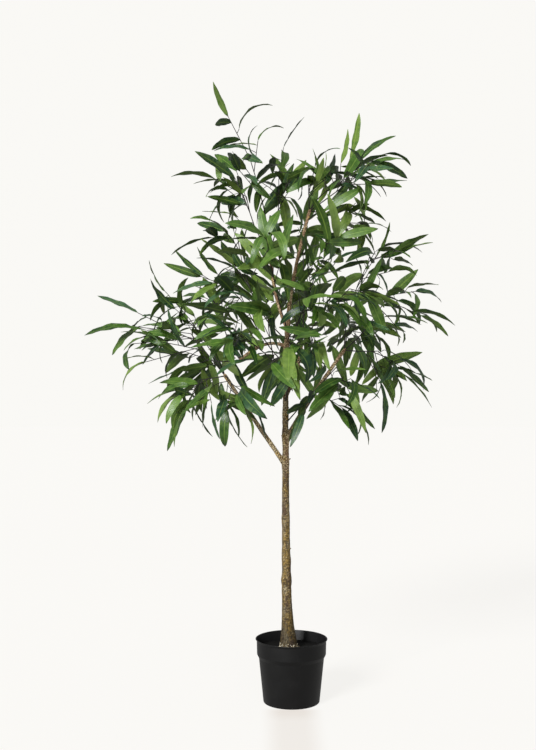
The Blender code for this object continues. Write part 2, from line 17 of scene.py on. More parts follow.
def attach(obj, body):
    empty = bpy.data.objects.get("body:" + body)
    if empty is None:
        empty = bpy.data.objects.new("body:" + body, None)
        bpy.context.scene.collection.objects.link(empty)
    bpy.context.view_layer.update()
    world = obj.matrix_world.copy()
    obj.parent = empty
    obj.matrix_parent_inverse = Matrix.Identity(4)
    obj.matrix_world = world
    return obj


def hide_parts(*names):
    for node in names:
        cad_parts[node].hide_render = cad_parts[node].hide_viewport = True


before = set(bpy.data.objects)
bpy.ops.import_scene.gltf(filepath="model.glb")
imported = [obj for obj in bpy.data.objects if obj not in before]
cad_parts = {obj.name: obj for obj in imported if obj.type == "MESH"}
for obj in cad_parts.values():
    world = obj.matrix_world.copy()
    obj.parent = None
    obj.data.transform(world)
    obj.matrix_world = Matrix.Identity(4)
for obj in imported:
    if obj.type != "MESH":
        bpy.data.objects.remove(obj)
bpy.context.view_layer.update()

UP = Vector((0, 0, 1))
GOLDEN = math.radians(137.5)
GAP = 0.0003

# ---- camera and studio ----
CAMERA_PLACE = (-0.057, -2.60, 0.792)
CAMERA_LENS = 51.41             # millimetres on a sensor of 36
BACKDROP = (0.955, 0.945, 0.915)
PAPER = (1.0, 0.987, 0.957)
PAINTED_REFLECTION_COLOUR = (0.55, 0.42, 0.32)  # painted reflection: the colour painted on the paper in front of the pot, where it would mirror the pot
PAPER_SEEN = 0.855              # glow that the paper shows the camera
PAPER_BOUNCE = 0.32             # light that it sends back up
FLOOR_RADIUS = 14

# ---- pot ----
POT_HEIGHT = 0.153
RIM_RADIUS = 0.0872
BAND_FOOT_RADIUS = 0.0836
BAND_HEIGHT = 0.037
STEP_HEIGHT = 0.009
BODY_HEIGHT = POT_HEIGHT - BAND_HEIGHT - STEP_HEIGHT
BODY_RADIUS = 0.0790
BASE_RADIUS = 0.0682
POT_WALL = 0.0022
LIP_WIDTH = 0.0022
LIP_HEIGHT = 0.0035
BASE_EDGE = 0.0015
FILL_TOP = 0.130
POT_SIDES = 128

# ---- limbs ----
TRUNK_TOP = 0.940
TRUNK_RADIUS = 0.0106
TRUNK_KNEE = 0.25
TRUNK_TAPER = 0.0078
FLARE = 0.0112
FLARE_FADE = 0.055
TRUNK_LINE = -0.0145
FOOT_SHIFT = 0.0085
FOOT_FADE = 0.13
FORK_SHIFT = 0.0075
FORK_BEND = 0.82
FORK_FADE = 0.13
SWAY = 0.002
SWAY_PITCH = 9
TRUNK_RINGS = 15
RING_CLOSING = 1.5
LIMB_PARTS = 5

Bough = namedtuple("Bough", "fork pull tip wide fine")
BOUGHS = {
    "left_bough": Bough(0.574, (-0.086, -0.020, 0.676), (-0.159, -0.045, 0.790), 0.0060, 0.0042),
    "right_bough": Bough(0.635, (0.028, 0.005, 0.711), (0.130, 0.030, 0.853), 0.0060, 0.0042),
    "drooping_bough": Bough(0.860, (-0.060, 0.060, 0.890), (-0.127, 0.100, 0.830), 0.0042, 0.0036),
    "back_bough": Bough(0.740, (0.020, 0.080, 0.800), (0.030, 0.150, 0.870), 0.0048, 0.0038),
    "right_leader": Bough(0.930, (0.000, -0.010, 1.030), (0.043, -0.025, 1.186), 0.0046, 0.0038),
    "left_leader": Bough(0.905, (-0.045, 0.020, 0.975), (-0.052, 0.035, 1.096), 0.0042, 0.0036),
}

# ---- the growth rule ----
STEM_RADIUS = 0.0016
STEM_PARTS = 4
STEM_LEAST_ANGLE = math.radians(56)
STEM_WIDEST_ANGLE = math.radians(84)
SOCKET_PITCH = math.radians(38)
STEM_PULL = 0.45
PART_STEPS = 60
PART_PUSH = 0.05
AHEAD_PUSH = 0.06
TWIG_RADIUS = 0.0010
TWIG_SHARES = (0.0, 0.5, 1.0)
STEM_BARE = 0.5
TWIG_LENGTH = (0.06, 0.20)
TWIG_SHORTER = (0.6, 1.0)
TWIG_LEAN = (0.45, 1.25)
TWIG_DROOP = (0.0, 0.20)
FIRST_TWIG_LEAN = 6
FIRST_LEAF_ROOM = 0.10
LEAF_ROOM = 0.08
TWIG_TURN = 0.9
LEAF_LENGTH = (0.082, 0.130)
LEAF_SLIM = (0.175, 0.255)
LEAF_SKEW = 0.82
LEAF_FALL = (-0.12, 0.32)
LEAF_OUTWARD = (0.0, 2.2)
LEAF_ROLL = 0.6
LEAF_JITTER = 0.4
LEAF_TURN = 1.3
FLAT_SHARE = 0.55
FLAT_BEND = (5, 45)
ARCHED_BEND = (45, 110)
LEAF_PARTS = 2
LEAF_TRIES = 8
TWIG_TRIES = 6
SIDE_LEAVES_AT = (0.45, 0.85)
FIRST_END_LEAN = (0, 12)
END_LEAN = (2, 35)
SIDE_LEAN = (45, 90)
END_RISE = (0.8, 1.0)
SIDE_RISE = (0.2, 0.9)
SPACE_MARGIN = 0.001
WOOD_MARGIN = 0.002
LOWEST_LEAF = 0.595
CROWDING = 0.6
CROWD_MARGIN = 0.001
TESTS = 4
LEAF_TESTS_LEFT = 2

# ---- finer growth, which only the looks have ----
FINE_SEED = 5000
FINE_AT = (0.22, 0.60)
FINE_LEAN = (40, 80)
FINE_LENGTH = (0.012, 0.030)
FINE_LEAF_LEAN = (10, 60)
FINE_LEAF_SIZE = 0.9

# Each spray: name, hub, tip, number of twigs, spread in degrees, seed, and its height on the trunk.
Spray = namedtuple("Spray", "limb name hub tip twigs spread seed socket", defaults=[None])
SPRAYS = [Spray(limb, *row) for limb, rows in (
    ("left_bough", (
     ("far_left", (-0.24, -0.06, 0.89), (-0.48, -0.09, 0.92), 5, 32, 763),
     ("left_arch", (-0.25, 0.04, 0.93), (-0.38, 0.06, 1.07), 5, 45, 179),
     ("low_left", (-0.22, -0.06, 0.78), (-0.28, -0.10, 0.65), 4, 42, 587),
     ("low_left_front", (-0.14, -0.15, 0.77), (-0.16, -0.20, 0.65), 4, 55, 717))),
    ("drooping_bough", (
     ("left_side", (-0.21, 0.12, 0.83), (-0.35, 0.16, 0.78), 5, 50, 217),
     ("back_left", (-0.16, 0.24, 0.91), (-0.24, 0.36, 0.94), 5, 65, 170),
     ("upper_far_left", (-0.17, 0.10, 1.02), (-0.30, 0.12, 1.08), 5, 50, 244))),
    ("trunk", (
     ("front_left", (-0.12, -0.17, 0.88), (-0.15, -0.34, 0.86), 6, 65, 190, 0.790),
     ("mid_left", (-0.13, -0.08, 1.00), (-0.25, -0.14, 1.01), 5, 60, 17, 0.820),
     ("upper_left", (-0.13, -0.02, 1.12), (-0.27, -0.02, 1.14), 5, 45, 277, 0.880))),
    ("left_leader", (
     ("side_left", (-0.11, 0.03, 1.23), (-0.27, 0.05, 1.33), 6, 50, 77),
     ("top_left", (-0.10, -0.03, 1.31), (-0.19, -0.06, 1.50), 4, 30, 349),
     ("top_centre", (-0.03, 0.08, 1.28), (0.00, 0.10, 1.46), 5, 50, 253))),
    ("right_leader", (
     ("top_middle", (0.04, -0.04, 1.23), (0.07, -0.06, 1.32), 5, 60, 148),
     ("top_right", (0.13, 0.05, 1.27), (0.17, 0.06, 1.42), 5, 35, 691),
     ("far_top_right", (0.15, -0.06, 1.26), (0.25, -0.10, 1.36), 5, 42, 629),
     ("upper_right", (0.14, 0.06, 1.17), (0.24, 0.12, 1.18), 5, 60, 83))),
    ("right_bough", (
     ("side_right", (0.19, 0.02, 1.07), (0.35, 0.02, 1.14), 5, 40, 27),
     ("far_right", (0.24, 0.06, 0.99), (0.41, 0.10, 1.01), 5, 45, 244),
     ("low_right", (0.21, 0.00, 0.85), (0.33, 0.00, 0.73), 5, 50, 262),
     ("back_right", (0.16, 0.20, 0.92), (0.24, 0.34, 0.92), 6, 65, 210))),
    ("trunk", (
     ("front_low_right", (0.10, -0.14, 0.81), (0.17, -0.20, 0.67), 5, 50, 52, 0.680),
     ("front_low", (-0.00, -0.20, 0.87), (-0.02, -0.36, 0.84), 6, 70, 303, 0.730),
     ("front_middle", (0.03, -0.20, 0.96), (0.01, -0.38, 0.95), 6, 75, 189, 0.830),
     ("front_right", (0.13, -0.14, 0.99), (0.21, -0.26, 0.96), 6, 60, 28, 0.845),
     ("front_upper", (-0.06, -0.16, 1.10), (-0.08, -0.32, 1.10), 6, 75, 258, 0.905),
     ("front_upper_right", (0.07, -0.13, 1.10), (0.10, -0.28, 1.08), 5, 75, 108, 0.880),
     ("inner_left", (-0.06, -0.09, 0.95), (-0.09, -0.22, 0.93), 5, 85, 30, 0.760),
     ("inner_right", (0.07, 0.06, 0.92), (0.14, 0.12, 0.96), 5, 85, 489, 0.790))),
    ("back_bough", (
     ("back_low", (-0.01, 0.22, 0.86), (-0.02, 0.36, 0.80), 6, 65, 87),
     ("back_middle", (0.00, 0.26, 1.02), (0.00, 0.40, 1.04), 6, 70, 240),
     ("back_upper", (0.03, 0.18, 1.16), (0.05, 0.32, 1.21), 6, 70, 207)))
) for row in rows]

Limb = namedtuple("Limb", "points radii")
Leaf = namedtuple("Leaf", "root way face length width bend")
Twig = namedtuple("Twig", "points leaves finer")


# ======== the limbs' lines ========

def trunk_centre(z):
    """The trunk's line leans left from its foot and drifts back right below the fork."""
    foot = math.exp((FILL_TOP - z) / FOOT_FADE)
    top = max(0.0, (z - FORK_BEND) / FORK_FADE)
    return Vector((TRUNK_LINE + FOOT_SHIFT * foot + FORK_SHIFT * top, SWAY * math.sin(SWAY_PITCH * z), z))


def trunk_radius(z):
    flare = FLARE * math.exp((FILL_TOP - z) / FLARE_FADE)
    return TRUNK_RADIUS - (z - TRUNK_KNEE) * TRUNK_TAPER + flare


def bezier(a, b, c, count):
    shares = [i / count for i in range(count + 1)]
    return [a.lerp(b, t).lerp(b.lerp(c, t), t) for t in shares]


def limb_lines(rings, parts):
    base = FILL_TOP + GAP
    shares = [(i / rings) ** RING_CLOSING for i in range(rings + 1)]
    heights = [base + (TRUNK_TOP - base) * share for share in shares]
    limbs = {"trunk": Limb([trunk_centre(z) for z in heights], [trunk_radius(z) for z in heights])}
    for name, bough in BOUGHS.items():
        points = bezier(trunk_centre(bough.fork), Vector(bough.pull), Vector(bough.tip), parts)
        shares = [i / parts for i in range(parts + 1)]
        limbs[name] = Limb(points, [bough.wide + (bough.fine - bough.wide) * t for t in shares])
    return limbs


# ======== where each spray may grow ========

def part_ways(ways, along):
    """Turns the stems that leave one tip away from each other, and keeps them ahead of it."""
    for step in range(PART_STEPS):
        for i, way in enumerate(ways):
            for j in range(i):
                if way.angle(ways[j]) < STEM_LEAST_ANGLE:
                    push = (way - ways[j]).normalized() * PART_PUSH
                    way, ways[j] = (way + push).normalized(), (ways[j] - push).normalized()
            if way.angle(along) > STEM_WIDEST_ANGLE:
                way = (way + along * AHEAD_PUSH).normalized()
            ways[i] = way
    return ways


def trunk_at(trunk, height):
    """The centre and the radius of the trunk at a height, between two of its rings."""
    heights = [point.z for point in trunk.points]
    centre = [np.interp(height, heights, [point[k] for point in trunk.points]) for k in range(3)]
    return Vector(centre), float(np.interp(height, heights, trunk.radii))


def stem_lines(sprays, limbs):
    """Each spray's stem, from just clear of its bough's round tip, or of the trunk, to its hub."""
    starts = {}
    for limb in BOUGHS:
        fan = [spray for spray in sprays if spray.limb == limb]
        tip, before = limbs[limb].points[-1], limbs[limb].points[-2]
        ways = part_ways([(spray.hub - tip).normalized() for spray in fan], (tip - before).normalized())
        for spray, way in zip(fan, ways):
            starts[spray.name] = (tip + way * (limbs[limb].radii[-1] + GAP), way)
    for spray in [spray for spray in sprays if spray.limb == "trunk"]:
        centre, radius = trunk_at(limbs["trunk"], spray.socket)
        flat = ((spray.hub - centre) * Vector((1, 1, 0))).normalized()
        way = flat * math.cos(SOCKET_PITCH) + UP * math.sin(SOCKET_PITCH)
        starts[spray.name] = (centre + flat * (radius + GAP), way)
    stems = {}
    for spray in sprays:
        start, way = starts[spray.name]
        pull = start + way * (spray.hub - start).length * STEM_PULL
        stems[spray.name] = bezier(start, pull, spray.hub, STEM_PARTS)
    return stems


def straight_runs(lines):
    """The straight runs of some lines of points: where each starts, its span and its radius."""
    starts = [a for points, radii in lines for a in points[:-1]]
    spans = [b - a for points, radii in lines for a, b in zip(points, points[1:])]
    radii = [r for points, radii in lines for r in radii[:-1]]
    return np.array(starts), np.array(spans), np.array(radii)


def clearance(points, lines):
    """How far each point lies from the nearest surface of the runs."""
    starts, spans, radii = lines
    apart = points[:, None] - starts[None]
    along = np.einsum("prk,rk->pr", apart, spans) / np.einsum("rk,rk->r", spans, spans)
    foot = starts[None] + np.clip(along, 0, 1)[..., None] * spans[None]
    return (np.linalg.norm(points[:, None] - foot, axis=2) - radii[None]).min(axis=1)


class Space:
    """The room of one spray: nearer to its own stem and axis than to any other's, and off the limbs."""

    def __init__(self, name, axes, limbs):
        bare = {key: (line, [0.0] * len(line)) for key, line in axes.items()}
        self.own = straight_runs([bare.pop(name)])
        self.others = straight_runs(list(bare.values()))
        self.wood = straight_runs([(limb.points, limb.radii) for limb in limbs.values()])
        self.taken = np.empty((0, 4))

    def holds(self, points, reach):
        """Whether points with that much round them stay in the room and off what grows there."""
        apart = np.maximum(2 * reach, reach + STEM_RADIUS) + SPACE_MARGIN
        if (clearance(points, self.own) + apart >= clearance(points, self.others)).any():
            return False
        if (clearance(points, self.wood) <= reach + WOOD_MARGIN).any():
            return False
        near = np.linalg.norm(points[:, None] - self.taken[None, :, :3], axis=2)
        return bool((near > CROWDING * (reach[:, None] + self.taken[None, :, 3]) + CROWD_MARGIN).all())

    def take(self, points, reach):
        self.taken = np.vstack([self.taken, np.column_stack([points, reach])])


# ======== the growth rule ========

def cone_way(axis, polar, turn):
    """A direction at an angle from the axis, turned round it."""
    side = axis.orthogonal().normalized()
    ring = side * math.cos(turn) + axis.cross(side) * math.sin(turn)
    return (axis * math.cos(polar) + ring * math.sin(polar)).normalized()


def leaf_line(leaf, count):
    """The midrib: an arc that falls away from the leaf's upper face."""
    points = [leaf.root]
    for i in range(count):
        angle = leaf.bend * (i + 0.5) / count
        way = leaf.way * math.cos(angle) - leaf.face * math.sin(angle)
        points.append(points[-1] + way * leaf.length / count)
    return points


def half_width(share):
    """Lance-shaped, widest below the middle: 0 at both ends and 1 at its widest."""
    return math.sin(math.pi * min(share, 1) ** LEAF_SKEW)


def closer(points, count):
    """The points of a line, its first left out, with others between them."""
    between = [a.lerp(b, i / count) for a, b in zip(points, points[1:]) for i in range(count)]
    return between[1:] + points[-1:]


def fits(space, line, reach, least=0):
    """Takes the room along a line if it is free, leaving out the points next to its root."""
    points, reach = np.array(line[least:]), np.array(reach[least:])
    if points[:, 2].min() < LOWEST_LEAF or not space.holds(points, reach):
        return False
    space.take(points, reach)
    return True


def fits_leaf(space, leaf):
    line = closer(leaf_line(leaf, LEAF_PARTS), TESTS)
    reach = [leaf.width / 2 * half_width((i + 1) / len(line)) for i in range(len(line))]
    return fits(space, line, reach, LEAF_TESTS_LEFT)


def fits_twig(space, points):
    line = closer(points, TESTS)
    return fits(space, line, [TWIG_RADIUS] * len(line), 1)


def grow_leaf(draw, space, root, along, turn, lean, rise, size=1.0):
    """A leaf that leans off the twig, re-aimed while it leaves the space, or none."""
    for attempt in range(LEAF_TRIES):
        polar = math.radians(draw.uniform(*lean))
        jitter = draw.uniform(-LEAF_JITTER, LEAF_JITTER)
        way = cone_way(along, polar, turn + attempt * LEAF_TURN + jitter)
        way.z *= draw.uniform(*rise)
        way = (way - UP * draw.uniform(*LEAF_FALL)).normalized()
        outward = Vector((root.x, root.y, 0)).normalized()
        side = way.cross(UP + outward * draw.uniform(*LEAF_OUTWARD)).normalized()
        face = Matrix.Rotation(draw.uniform(-LEAF_ROLL, LEAF_ROLL), 3, way) @ side.cross(way)
        length = draw.uniform(*LEAF_LENGTH) * size
        width = length * draw.uniform(*LEAF_SLIM)
        bend = draw.uniform(*(FLAT_BEND if draw.random() < FLAT_SHARE else ARCHED_BEND))
        leaf = Leaf(root, way, face.normalized(), length, width, math.radians(bend))
        if fits_leaf(space, leaf):
            return leaf
    return None


def along_twig(points, share):
    """The place at a share of a twig, and the twig's direction there."""
    at = share * (len(points) - 1)
    i = min(int(at), len(points) - 2)
    return points[i].lerp(points[i + 1], at - i), (points[i + 1] - points[i]).normalized()


def grow_leaves(draw, space, points, end_lean):
    """The leaf that ends a twig and the leaves beside it, as far as there is room for them."""
    turn = draw.uniform(0, 2 * math.pi)
    root, along = along_twig(points, 1.0)
    leaves = [grow_leaf(draw, space, root, along, turn, end_lean, END_RISE)]
    for share in SIDE_LEAVES_AT:
        turn += GOLDEN
        root, along = along_twig(points, share)
        leaves.append(grow_leaf(draw, space, root, along, turn, SIDE_LEAN, SIDE_RISE))
    return [leaf for leaf in leaves if leaf]


def grow_finer(draw, space, points):
    """Short side twigs with a leaf at the end of each."""
    finer = []
    turn = draw.uniform(0, 2 * math.pi)
    for share in FINE_AT:
        root, along = along_twig(points, share)
        way = cone_way(along, math.radians(draw.uniform(*FINE_LEAN)), turn)
        turn += GOLDEN
        side = [root, root + way * draw.uniform(*FINE_LENGTH)]
        leaf = grow_leaf(draw, space, side[-1], way, turn, FINE_LEAF_LEAN, SIDE_RISE, FINE_LEAF_SIZE)
        if leaf:
            finer.append(Twig(side, [leaf], []))
    return finer


def grow_twigs(spray, stem, space):
    """The first twig runs out to the spray's tip, and the rest fan round it at the golden angle."""
    draw = random.Random(spray.seed)
    axis = spray.tip - spray.hub
    reach = axis.length
    axis.normalize()
    twigs = []
    turn = draw.uniform(0, 2 * math.pi)
    for number in range(spray.twigs):
        for attempt in range(TWIG_TRIES):
            if number == 0:
                polar = math.radians(draw.uniform(0, FIRST_TWIG_LEAN))
                length = max(TWIG_LENGTH[0], reach - FIRST_LEAF_ROOM)
                droop = 0.0
            else:
                polar = spray.spread * draw.uniform(*TWIG_LEAN)
                length = (reach - LEAF_ROOM) * draw.uniform(*TWIG_SHORTER)
                length = min(max(length, TWIG_LENGTH[0]), TWIG_LENGTH[1])
                droop = draw.uniform(*TWIG_DROOP)
            way = cone_way(axis, polar, turn + number * GOLDEN + attempt * TWIG_TURN)
            origin = along_twig(stem, 1 - STEM_BARE * number / spray.twigs)[0]
            points = [origin + way * length * s - UP * length * droop * s * s for s in TWIG_SHARES]
            if fits_twig(space, points):
                end_lean = END_LEAN if number else FIRST_END_LEAN
                twigs.append((points, grow_leaves(draw, space, points, end_lean)))
                break
    finer = random.Random(spray.seed + FINE_SEED)
    return [Twig(points, leaves, grow_finer(finer, space, points)) for points, leaves in twigs]


def grown_crown():
    """Each spray's stem and twigs."""
    limbs = limb_lines(TRUNK_RINGS, LIMB_PARTS)
    sprays = [spray._replace(hub=Vector(spray.hub), tip=Vector(spray.tip), spread=math.radians(spray.spread))
              for spray in SPRAYS]
    stems = stem_lines(sprays, limbs)
    axes = {spray.name: stems[spray.name] + [spray.tip] for spray in sprays}
    crown = []
    for spray in sprays:
        twigs = grow_twigs(spray, stems[spray.name], Space(spray.name, axes, limbs))
        crown.append((spray, stems[spray.name], twigs))
    return crown


# ======== node trees ========

class Wire:
    """A value that runs between nodes: an operator on it adds the node that reckons with it."""

    def __init__(self, tree, socket):
        self.tree, self.socket = tree, socket

    def __add__(self, other):
        return reckon("ADD", self, other)

    def __sub__(self, other):
        return reckon("SUBTRACT", self, other)

    def __rsub__(self, other):
        return reckon("SUBTRACT", other, self)

    def __mul__(self, other):
        return reckon("MULTIPLY", self, other)

    def __truediv__(self, other):
        return reckon("DIVIDE", self, other)

    def __rtruediv__(self, other):
        return reckon("DIVIDE", other, self)


def is_vector(value):
    return isinstance(value, tuple) or isinstance(value, Wire) and value.socket.type in ("VECTOR", "RGBA")


def reckon(operation, *values):
    """What a maths node makes of some values; a vector by a number is scaled."""
    tree = next(value.tree for value in values if isinstance(value, Wire))
    if operation == "MULTIPLY" and is_vector(values[0]) and not is_vector(values[1]):
        return wire(tree, "ShaderNodeVectorMath", {0: values[0], "Scale": values[1]}, operation="SCALE")
    kind = "ShaderNodeVectorMath" if is_vector(values[0]) else "ShaderNodeMath"
    return wire(tree, kind, dict(enumerate(values)), operation=operation)


def link(tree, value, socket):
    value = getattr(value, "socket", value)
    if isinstance(value, bpy.types.NodeSocket):
        tree.links.new(value, socket)
    else:
        socket.default_value = value


def node(tree, kind, inputs, **settings):
    made = tree.nodes.new(kind)
    for key, value in settings.items():
        setattr(made, key, value)
    for key, value in inputs.items():
        link(tree, value, made.inputs[key])
    return made


def wire(tree, kind, inputs=(), output=0, **settings):
    return Wire(tree, node(tree, kind, dict(inputs), **settings).outputs[output])


def split(vector):
    made = node(vector.tree, "ShaderNodeSeparateXYZ", {0: vector})
    return [Wire(vector.tree, socket) for socket in made.outputs]


def object_place(tree):
    return wire(tree, "ShaderNodeTexCoord", output="Object")


def noise(place, scale, detail=3.0, roughness=0.55):
    inputs = {"Vector": place, "Scale": scale, "Detail": detail, "Roughness": roughness}
    return wire(place.tree, "ShaderNodeTexNoise", inputs, "Fac")


def eased(value, low, high, start=0.0, end=1.0):
    """The value's way from low to high, eased at both ends, as a number from start to end."""
    inputs = {"Value": value, "From Min": low, "From Max": high, "To Min": start, "To Max": end}
    return wire(value.tree, "ShaderNodeMapRange", inputs, "Result", interpolation_type="SMOOTHSTEP")


SOCKET_KINDS = {float: "Float", int: "Int", tuple: "Color"}


def new_group(name, kind, inputs, outputs):
    """A node group: each input is given with its value, or with its kind where it has none."""
    tree = bpy.data.node_groups.new(name, kind)
    for label, value in inputs.items():
        socket_kind = SOCKET_KINDS.get(type(value), value)
        socket = tree.interface.new_socket(label, in_out="INPUT", socket_type="NodeSocket" + socket_kind)
        if value != socket_kind:
            socket.default_value = value
    for label, socket_kind in outputs.items():
        tree.interface.new_socket(label, in_out="OUTPUT", socket_type="NodeSocket" + socket_kind)
    given = tree.nodes.new("NodeGroupInput").outputs
    given = {label: Wire(tree, given[label]) for label in inputs}
    return tree, given, tree.nodes.new("NodeGroupOutput").inputs


def geometry_group(name, inputs):
    inputs = {"Geometry": "Geometry", **inputs}
    return new_group(name, "GeometryNodeTree", inputs, {"Geometry": "Geometry"})


def attribute(tree, name, kind="FLOAT"):
    return wire(tree, "GeometryNodeInputNamedAttribute", {"Name": name}, data_type=kind)


def stored(geometry, name, value, kind="FLOAT"):
    return wire(geometry.tree, "GeometryNodeStoreNamedAttribute",
                {"Geometry": geometry, "Name": name, "Value": value}, data_type=kind, domain="POINT")


def moved(geometry, **inputs):
    return wire(geometry.tree, "GeometryNodeSetPosition", {"Geometry": geometry, **inputs})


def with_material(geometry, material, selection=True):
    inputs = {"Geometry": geometry, "Material": material, "Selection": selection}
    return wire(geometry.tree, "GeometryNodeSetMaterial", inputs)


def realized(geometry):
    return wire(geometry.tree, "GeometryNodeRealizeInstances", {"Geometry": geometry})


def shaped(piece, tree, values):
    """Gives the piece the plain mesh that the tree makes of it with these inputs."""
    modifier = piece.modifiers.new(tree.name, "NODES")
    modifier.node_group = tree
    for item in tree.interface.items_tree:
        if item.in_out == "INPUT" and item.name in values:
            modifier[item.identifier] = values[item.name]
    depsgraph = bpy.context.evaluated_depsgraph_get()
    mesh = bpy.data.meshes.new_from_object(piece.evaluated_get(depsgraph))
    piece.modifiers.clear()
    piece.data = mesh


# ======== shapes made by trees ========

DRAWN_OUT = (1.0, 1.0, 0.45)    # the bark's pattern is stretched along the limb
PLATE_SCALE = 0.22              # of the ridges' own
PLATE_RISE = 2.2


def skin_tree():
    """A tapering skin round lines, whose bark rises and falls with noise that follows the limb."""
    tree, given, result = geometry_group("bark_skin", {
        "Sides": 32, "Spacing": 0.002, "Ridges": 0.0006, "Ridge Size": 0.0035, "Ledges": 9.0,
        "Finish": "Material"})
    curve = wire(tree, "GeometryNodeMeshToCurve", {"Mesh": given["Geometry"]})
    curve = wire(tree, "GeometryNodeResampleCurve", {"Curve": curve, "Length": given["Spacing"]},
                 mode="LENGTH")
    curve = stored(curve, "limb_length", wire(tree, "GeometryNodeSplineParameter", output="Length"))
    circle = wire(tree, "GeometryNodeCurvePrimitiveCircle", {"Resolution": given["Sides"], "Radius": 1.0})
    circle = stored(circle, "limb_turn", wire(tree, "GeometryNodeInputPosition"), "FLOAT_VECTOR")
    thickness = attribute(tree, "thickness")
    skin = wire(tree, "GeometryNodeCurveToMesh",
                {"Curve": curve, "Profile Curve": circle, "Scale": thickness, "Fill Caps": True})
    rise = wire(tree, "ShaderNodeCombineXYZ", {"Z": attribute(tree, "limb_length")})
    turn = attribute(tree, "limb_turn", "FLOAT_VECTOR") * thickness
    skin = stored(skin, "bark_place", turn + rise, "FLOAT_VECTOR")
    drawn_out = attribute(tree, "bark_place", "FLOAT_VECTOR") * DRAWN_OUT
    size = 1.0 / given["Ridge Size"]
    ridges = noise(drawn_out, size) - 0.5
    plates = reckon("ROUND", noise(drawn_out, size * PLATE_SCALE) * given["Ledges"]) / given["Ledges"]
    height = ((plates - 0.5) * PLATE_RISE + ridges) * given["Ridges"]
    skin = moved(skin, Offset=wire(tree, "GeometryNodeInputNormal") * height)
    link(tree, with_material(realized(skin), given["Finish"]), result[0])
    return tree


LEAST_BEND = 0.01
RIPPLE_SHIFT = 6.0              # each leaf's ripples start at their own place


def blade_tree():
    """A leaf on each point: a thin blade bent, folded, twisted and rippled by the point's values."""
    tree, given, result = geometry_group("leaf_blades", {
        "Blade": "Object", "Fullness": 0.66, "Fold": 0.22, "Thickness": 0.0007, "Stalk": 0.0007,
        "Ripple": 0.12, "Ripples": 16.0, "Upper": "Material", "Under": "Material"})
    points = stored(given["Geometry"], "root", wire(tree, "GeometryNodeInputPosition"), "FLOAT_VECTOR")
    blade = wire(tree, "GeometryNodeObjectInfo", {"Object": given["Blade"]}, "Geometry")
    leaves = wire(tree, "GeometryNodeInstanceOnPoints", {"Points": points, "Instance": blade})
    root, way, upper = (attribute(tree, name, "FLOAT_VECTOR") for name in ("root", "way", "upper"))
    along, across, over = (attribute(tree, name) for name in ("along", "across", "over"))
    bend = reckon("MAXIMUM", attribute(tree, "bend"), LEAST_BEND)
    angle = bend * along
    cosine, sine = reckon("COSINE", angle), reckon("SINE", angle)
    arm = attribute(tree, "length") / bend
    midrib = root + way * (arm * sine) - upper * (arm * (1.0 - cosine))
    lift = upper * cosine + way * sine
    side = reckon("CROSS_PRODUCT", upper, way)
    twist = attribute(tree, "twist") * along + attribute(tree, "roll")
    twist_cosine, twist_sine = reckon("COSINE", twist), reckon("SINE", twist)
    out = side * twist_cosine + lift * twist_sine
    top = lift * twist_cosine - side * twist_sine
    outline = reckon("MAXIMUM", reckon("SINE", reckon("POWER", along, LEAF_SKEW) * math.pi), 0.0)
    half = attribute(tree, "width") * 0.5 * reckon("POWER", outline, given["Fullness"])
    offset = across * reckon("MAXIMUM", half, given["Stalk"])
    wave = reckon("SINE", along * given["Ripples"] + attribute(tree, "shade") * RIPPLE_SHIFT)
    rise = reckon("ABSOLUTE", offset) * given["Fold"] + wave * (offset * given["Ripple"])
    rise = over * 0.5 * given["Thickness"] + rise
    leaves = moved(realized(leaves), Position=midrib + out * offset + top * rise)
    leaves = with_material(leaves, given["Upper"])
    under = reckon("GREATER_THAN", attribute(tree, "under"), 0.5)
    link(tree, with_material(leaves, given["Under"], under), result[0])
    return tree


SMALLEST_CRUMB = 0.35
PALE_ABOVE = 0.74


def grit_tree():
    """Crumbs strewn on a surface, some of them pale."""
    tree, given, result = geometry_group("grit", {
        "Density": 60000.0, "Size": 0.0011, "Seed": 3, "Finish": "Material", "Pale": "Material"})
    points = wire(tree, "GeometryNodeDistributePointsOnFaces", {
        "Mesh": given["Geometry"], "Density": given["Density"], "Seed": given["Seed"]})
    size = wire(tree, "FunctionNodeRandomValue", {2: SMALLEST_CRUMB, 3: 1.0, "Seed": 7}, 1)
    pale = wire(tree, "FunctionNodeRandomValue", {2: 0.0, 3: 1.0, "Seed": 11}, 1)
    points = stored(points, "pale", pale)
    crumb = wire(tree, "GeometryNodeMeshIcoSphere", {"Radius": given["Size"], "Subdivisions": 1})
    crumbs = wire(tree, "GeometryNodeInstanceOnPoints", {"Points": points, "Instance": crumb, "Scale": size})
    crumbs = with_material(realized(crumbs), given["Finish"])
    chosen = reckon("GREATER_THAN", attribute(tree, "pale"), PALE_ABOVE)
    link(tree, with_material(crumbs, given["Pale"], chosen), result[0])
    return tree


def top_tree():
    """A disc whose surface is lumpy, more so away from its edge."""
    tree, given, result = geometry_group("lumpy_top", {
        "Lumps": 0.0030, "Lump Size": 0.010, "Finish": "Material"})
    place = wire(tree, "GeometryNodeInputPosition")
    lump = noise(place, 1.0 / given["Lump Size"], 5.0, 0.62) - 0.55
    rise = lump * (given["Lumps"] * attribute(tree, "loose"))
    top = moved(given["Geometry"], Offset=wire(tree, "ShaderNodeCombineXYZ", {"Z": rise}))
    link(tree, with_material(realized(top), given["Finish"]), result[0])
    return tree


# ======== finishes ========

COLOUR = (0, 0, 0, 1)
PRINT = {"Color": "Color", "Roughness": "Float", "Height": "Float"}
VEIN_SLANT = -0.22
VEIN_PITCH = 120.0
MOTTLE_SCALE = 70.0


def mixed(factor, first, second):
    return wire(factor.tree, "ShaderNodeMix", {0: factor, 6: first, 7: second}, 2, data_type="RGBA")


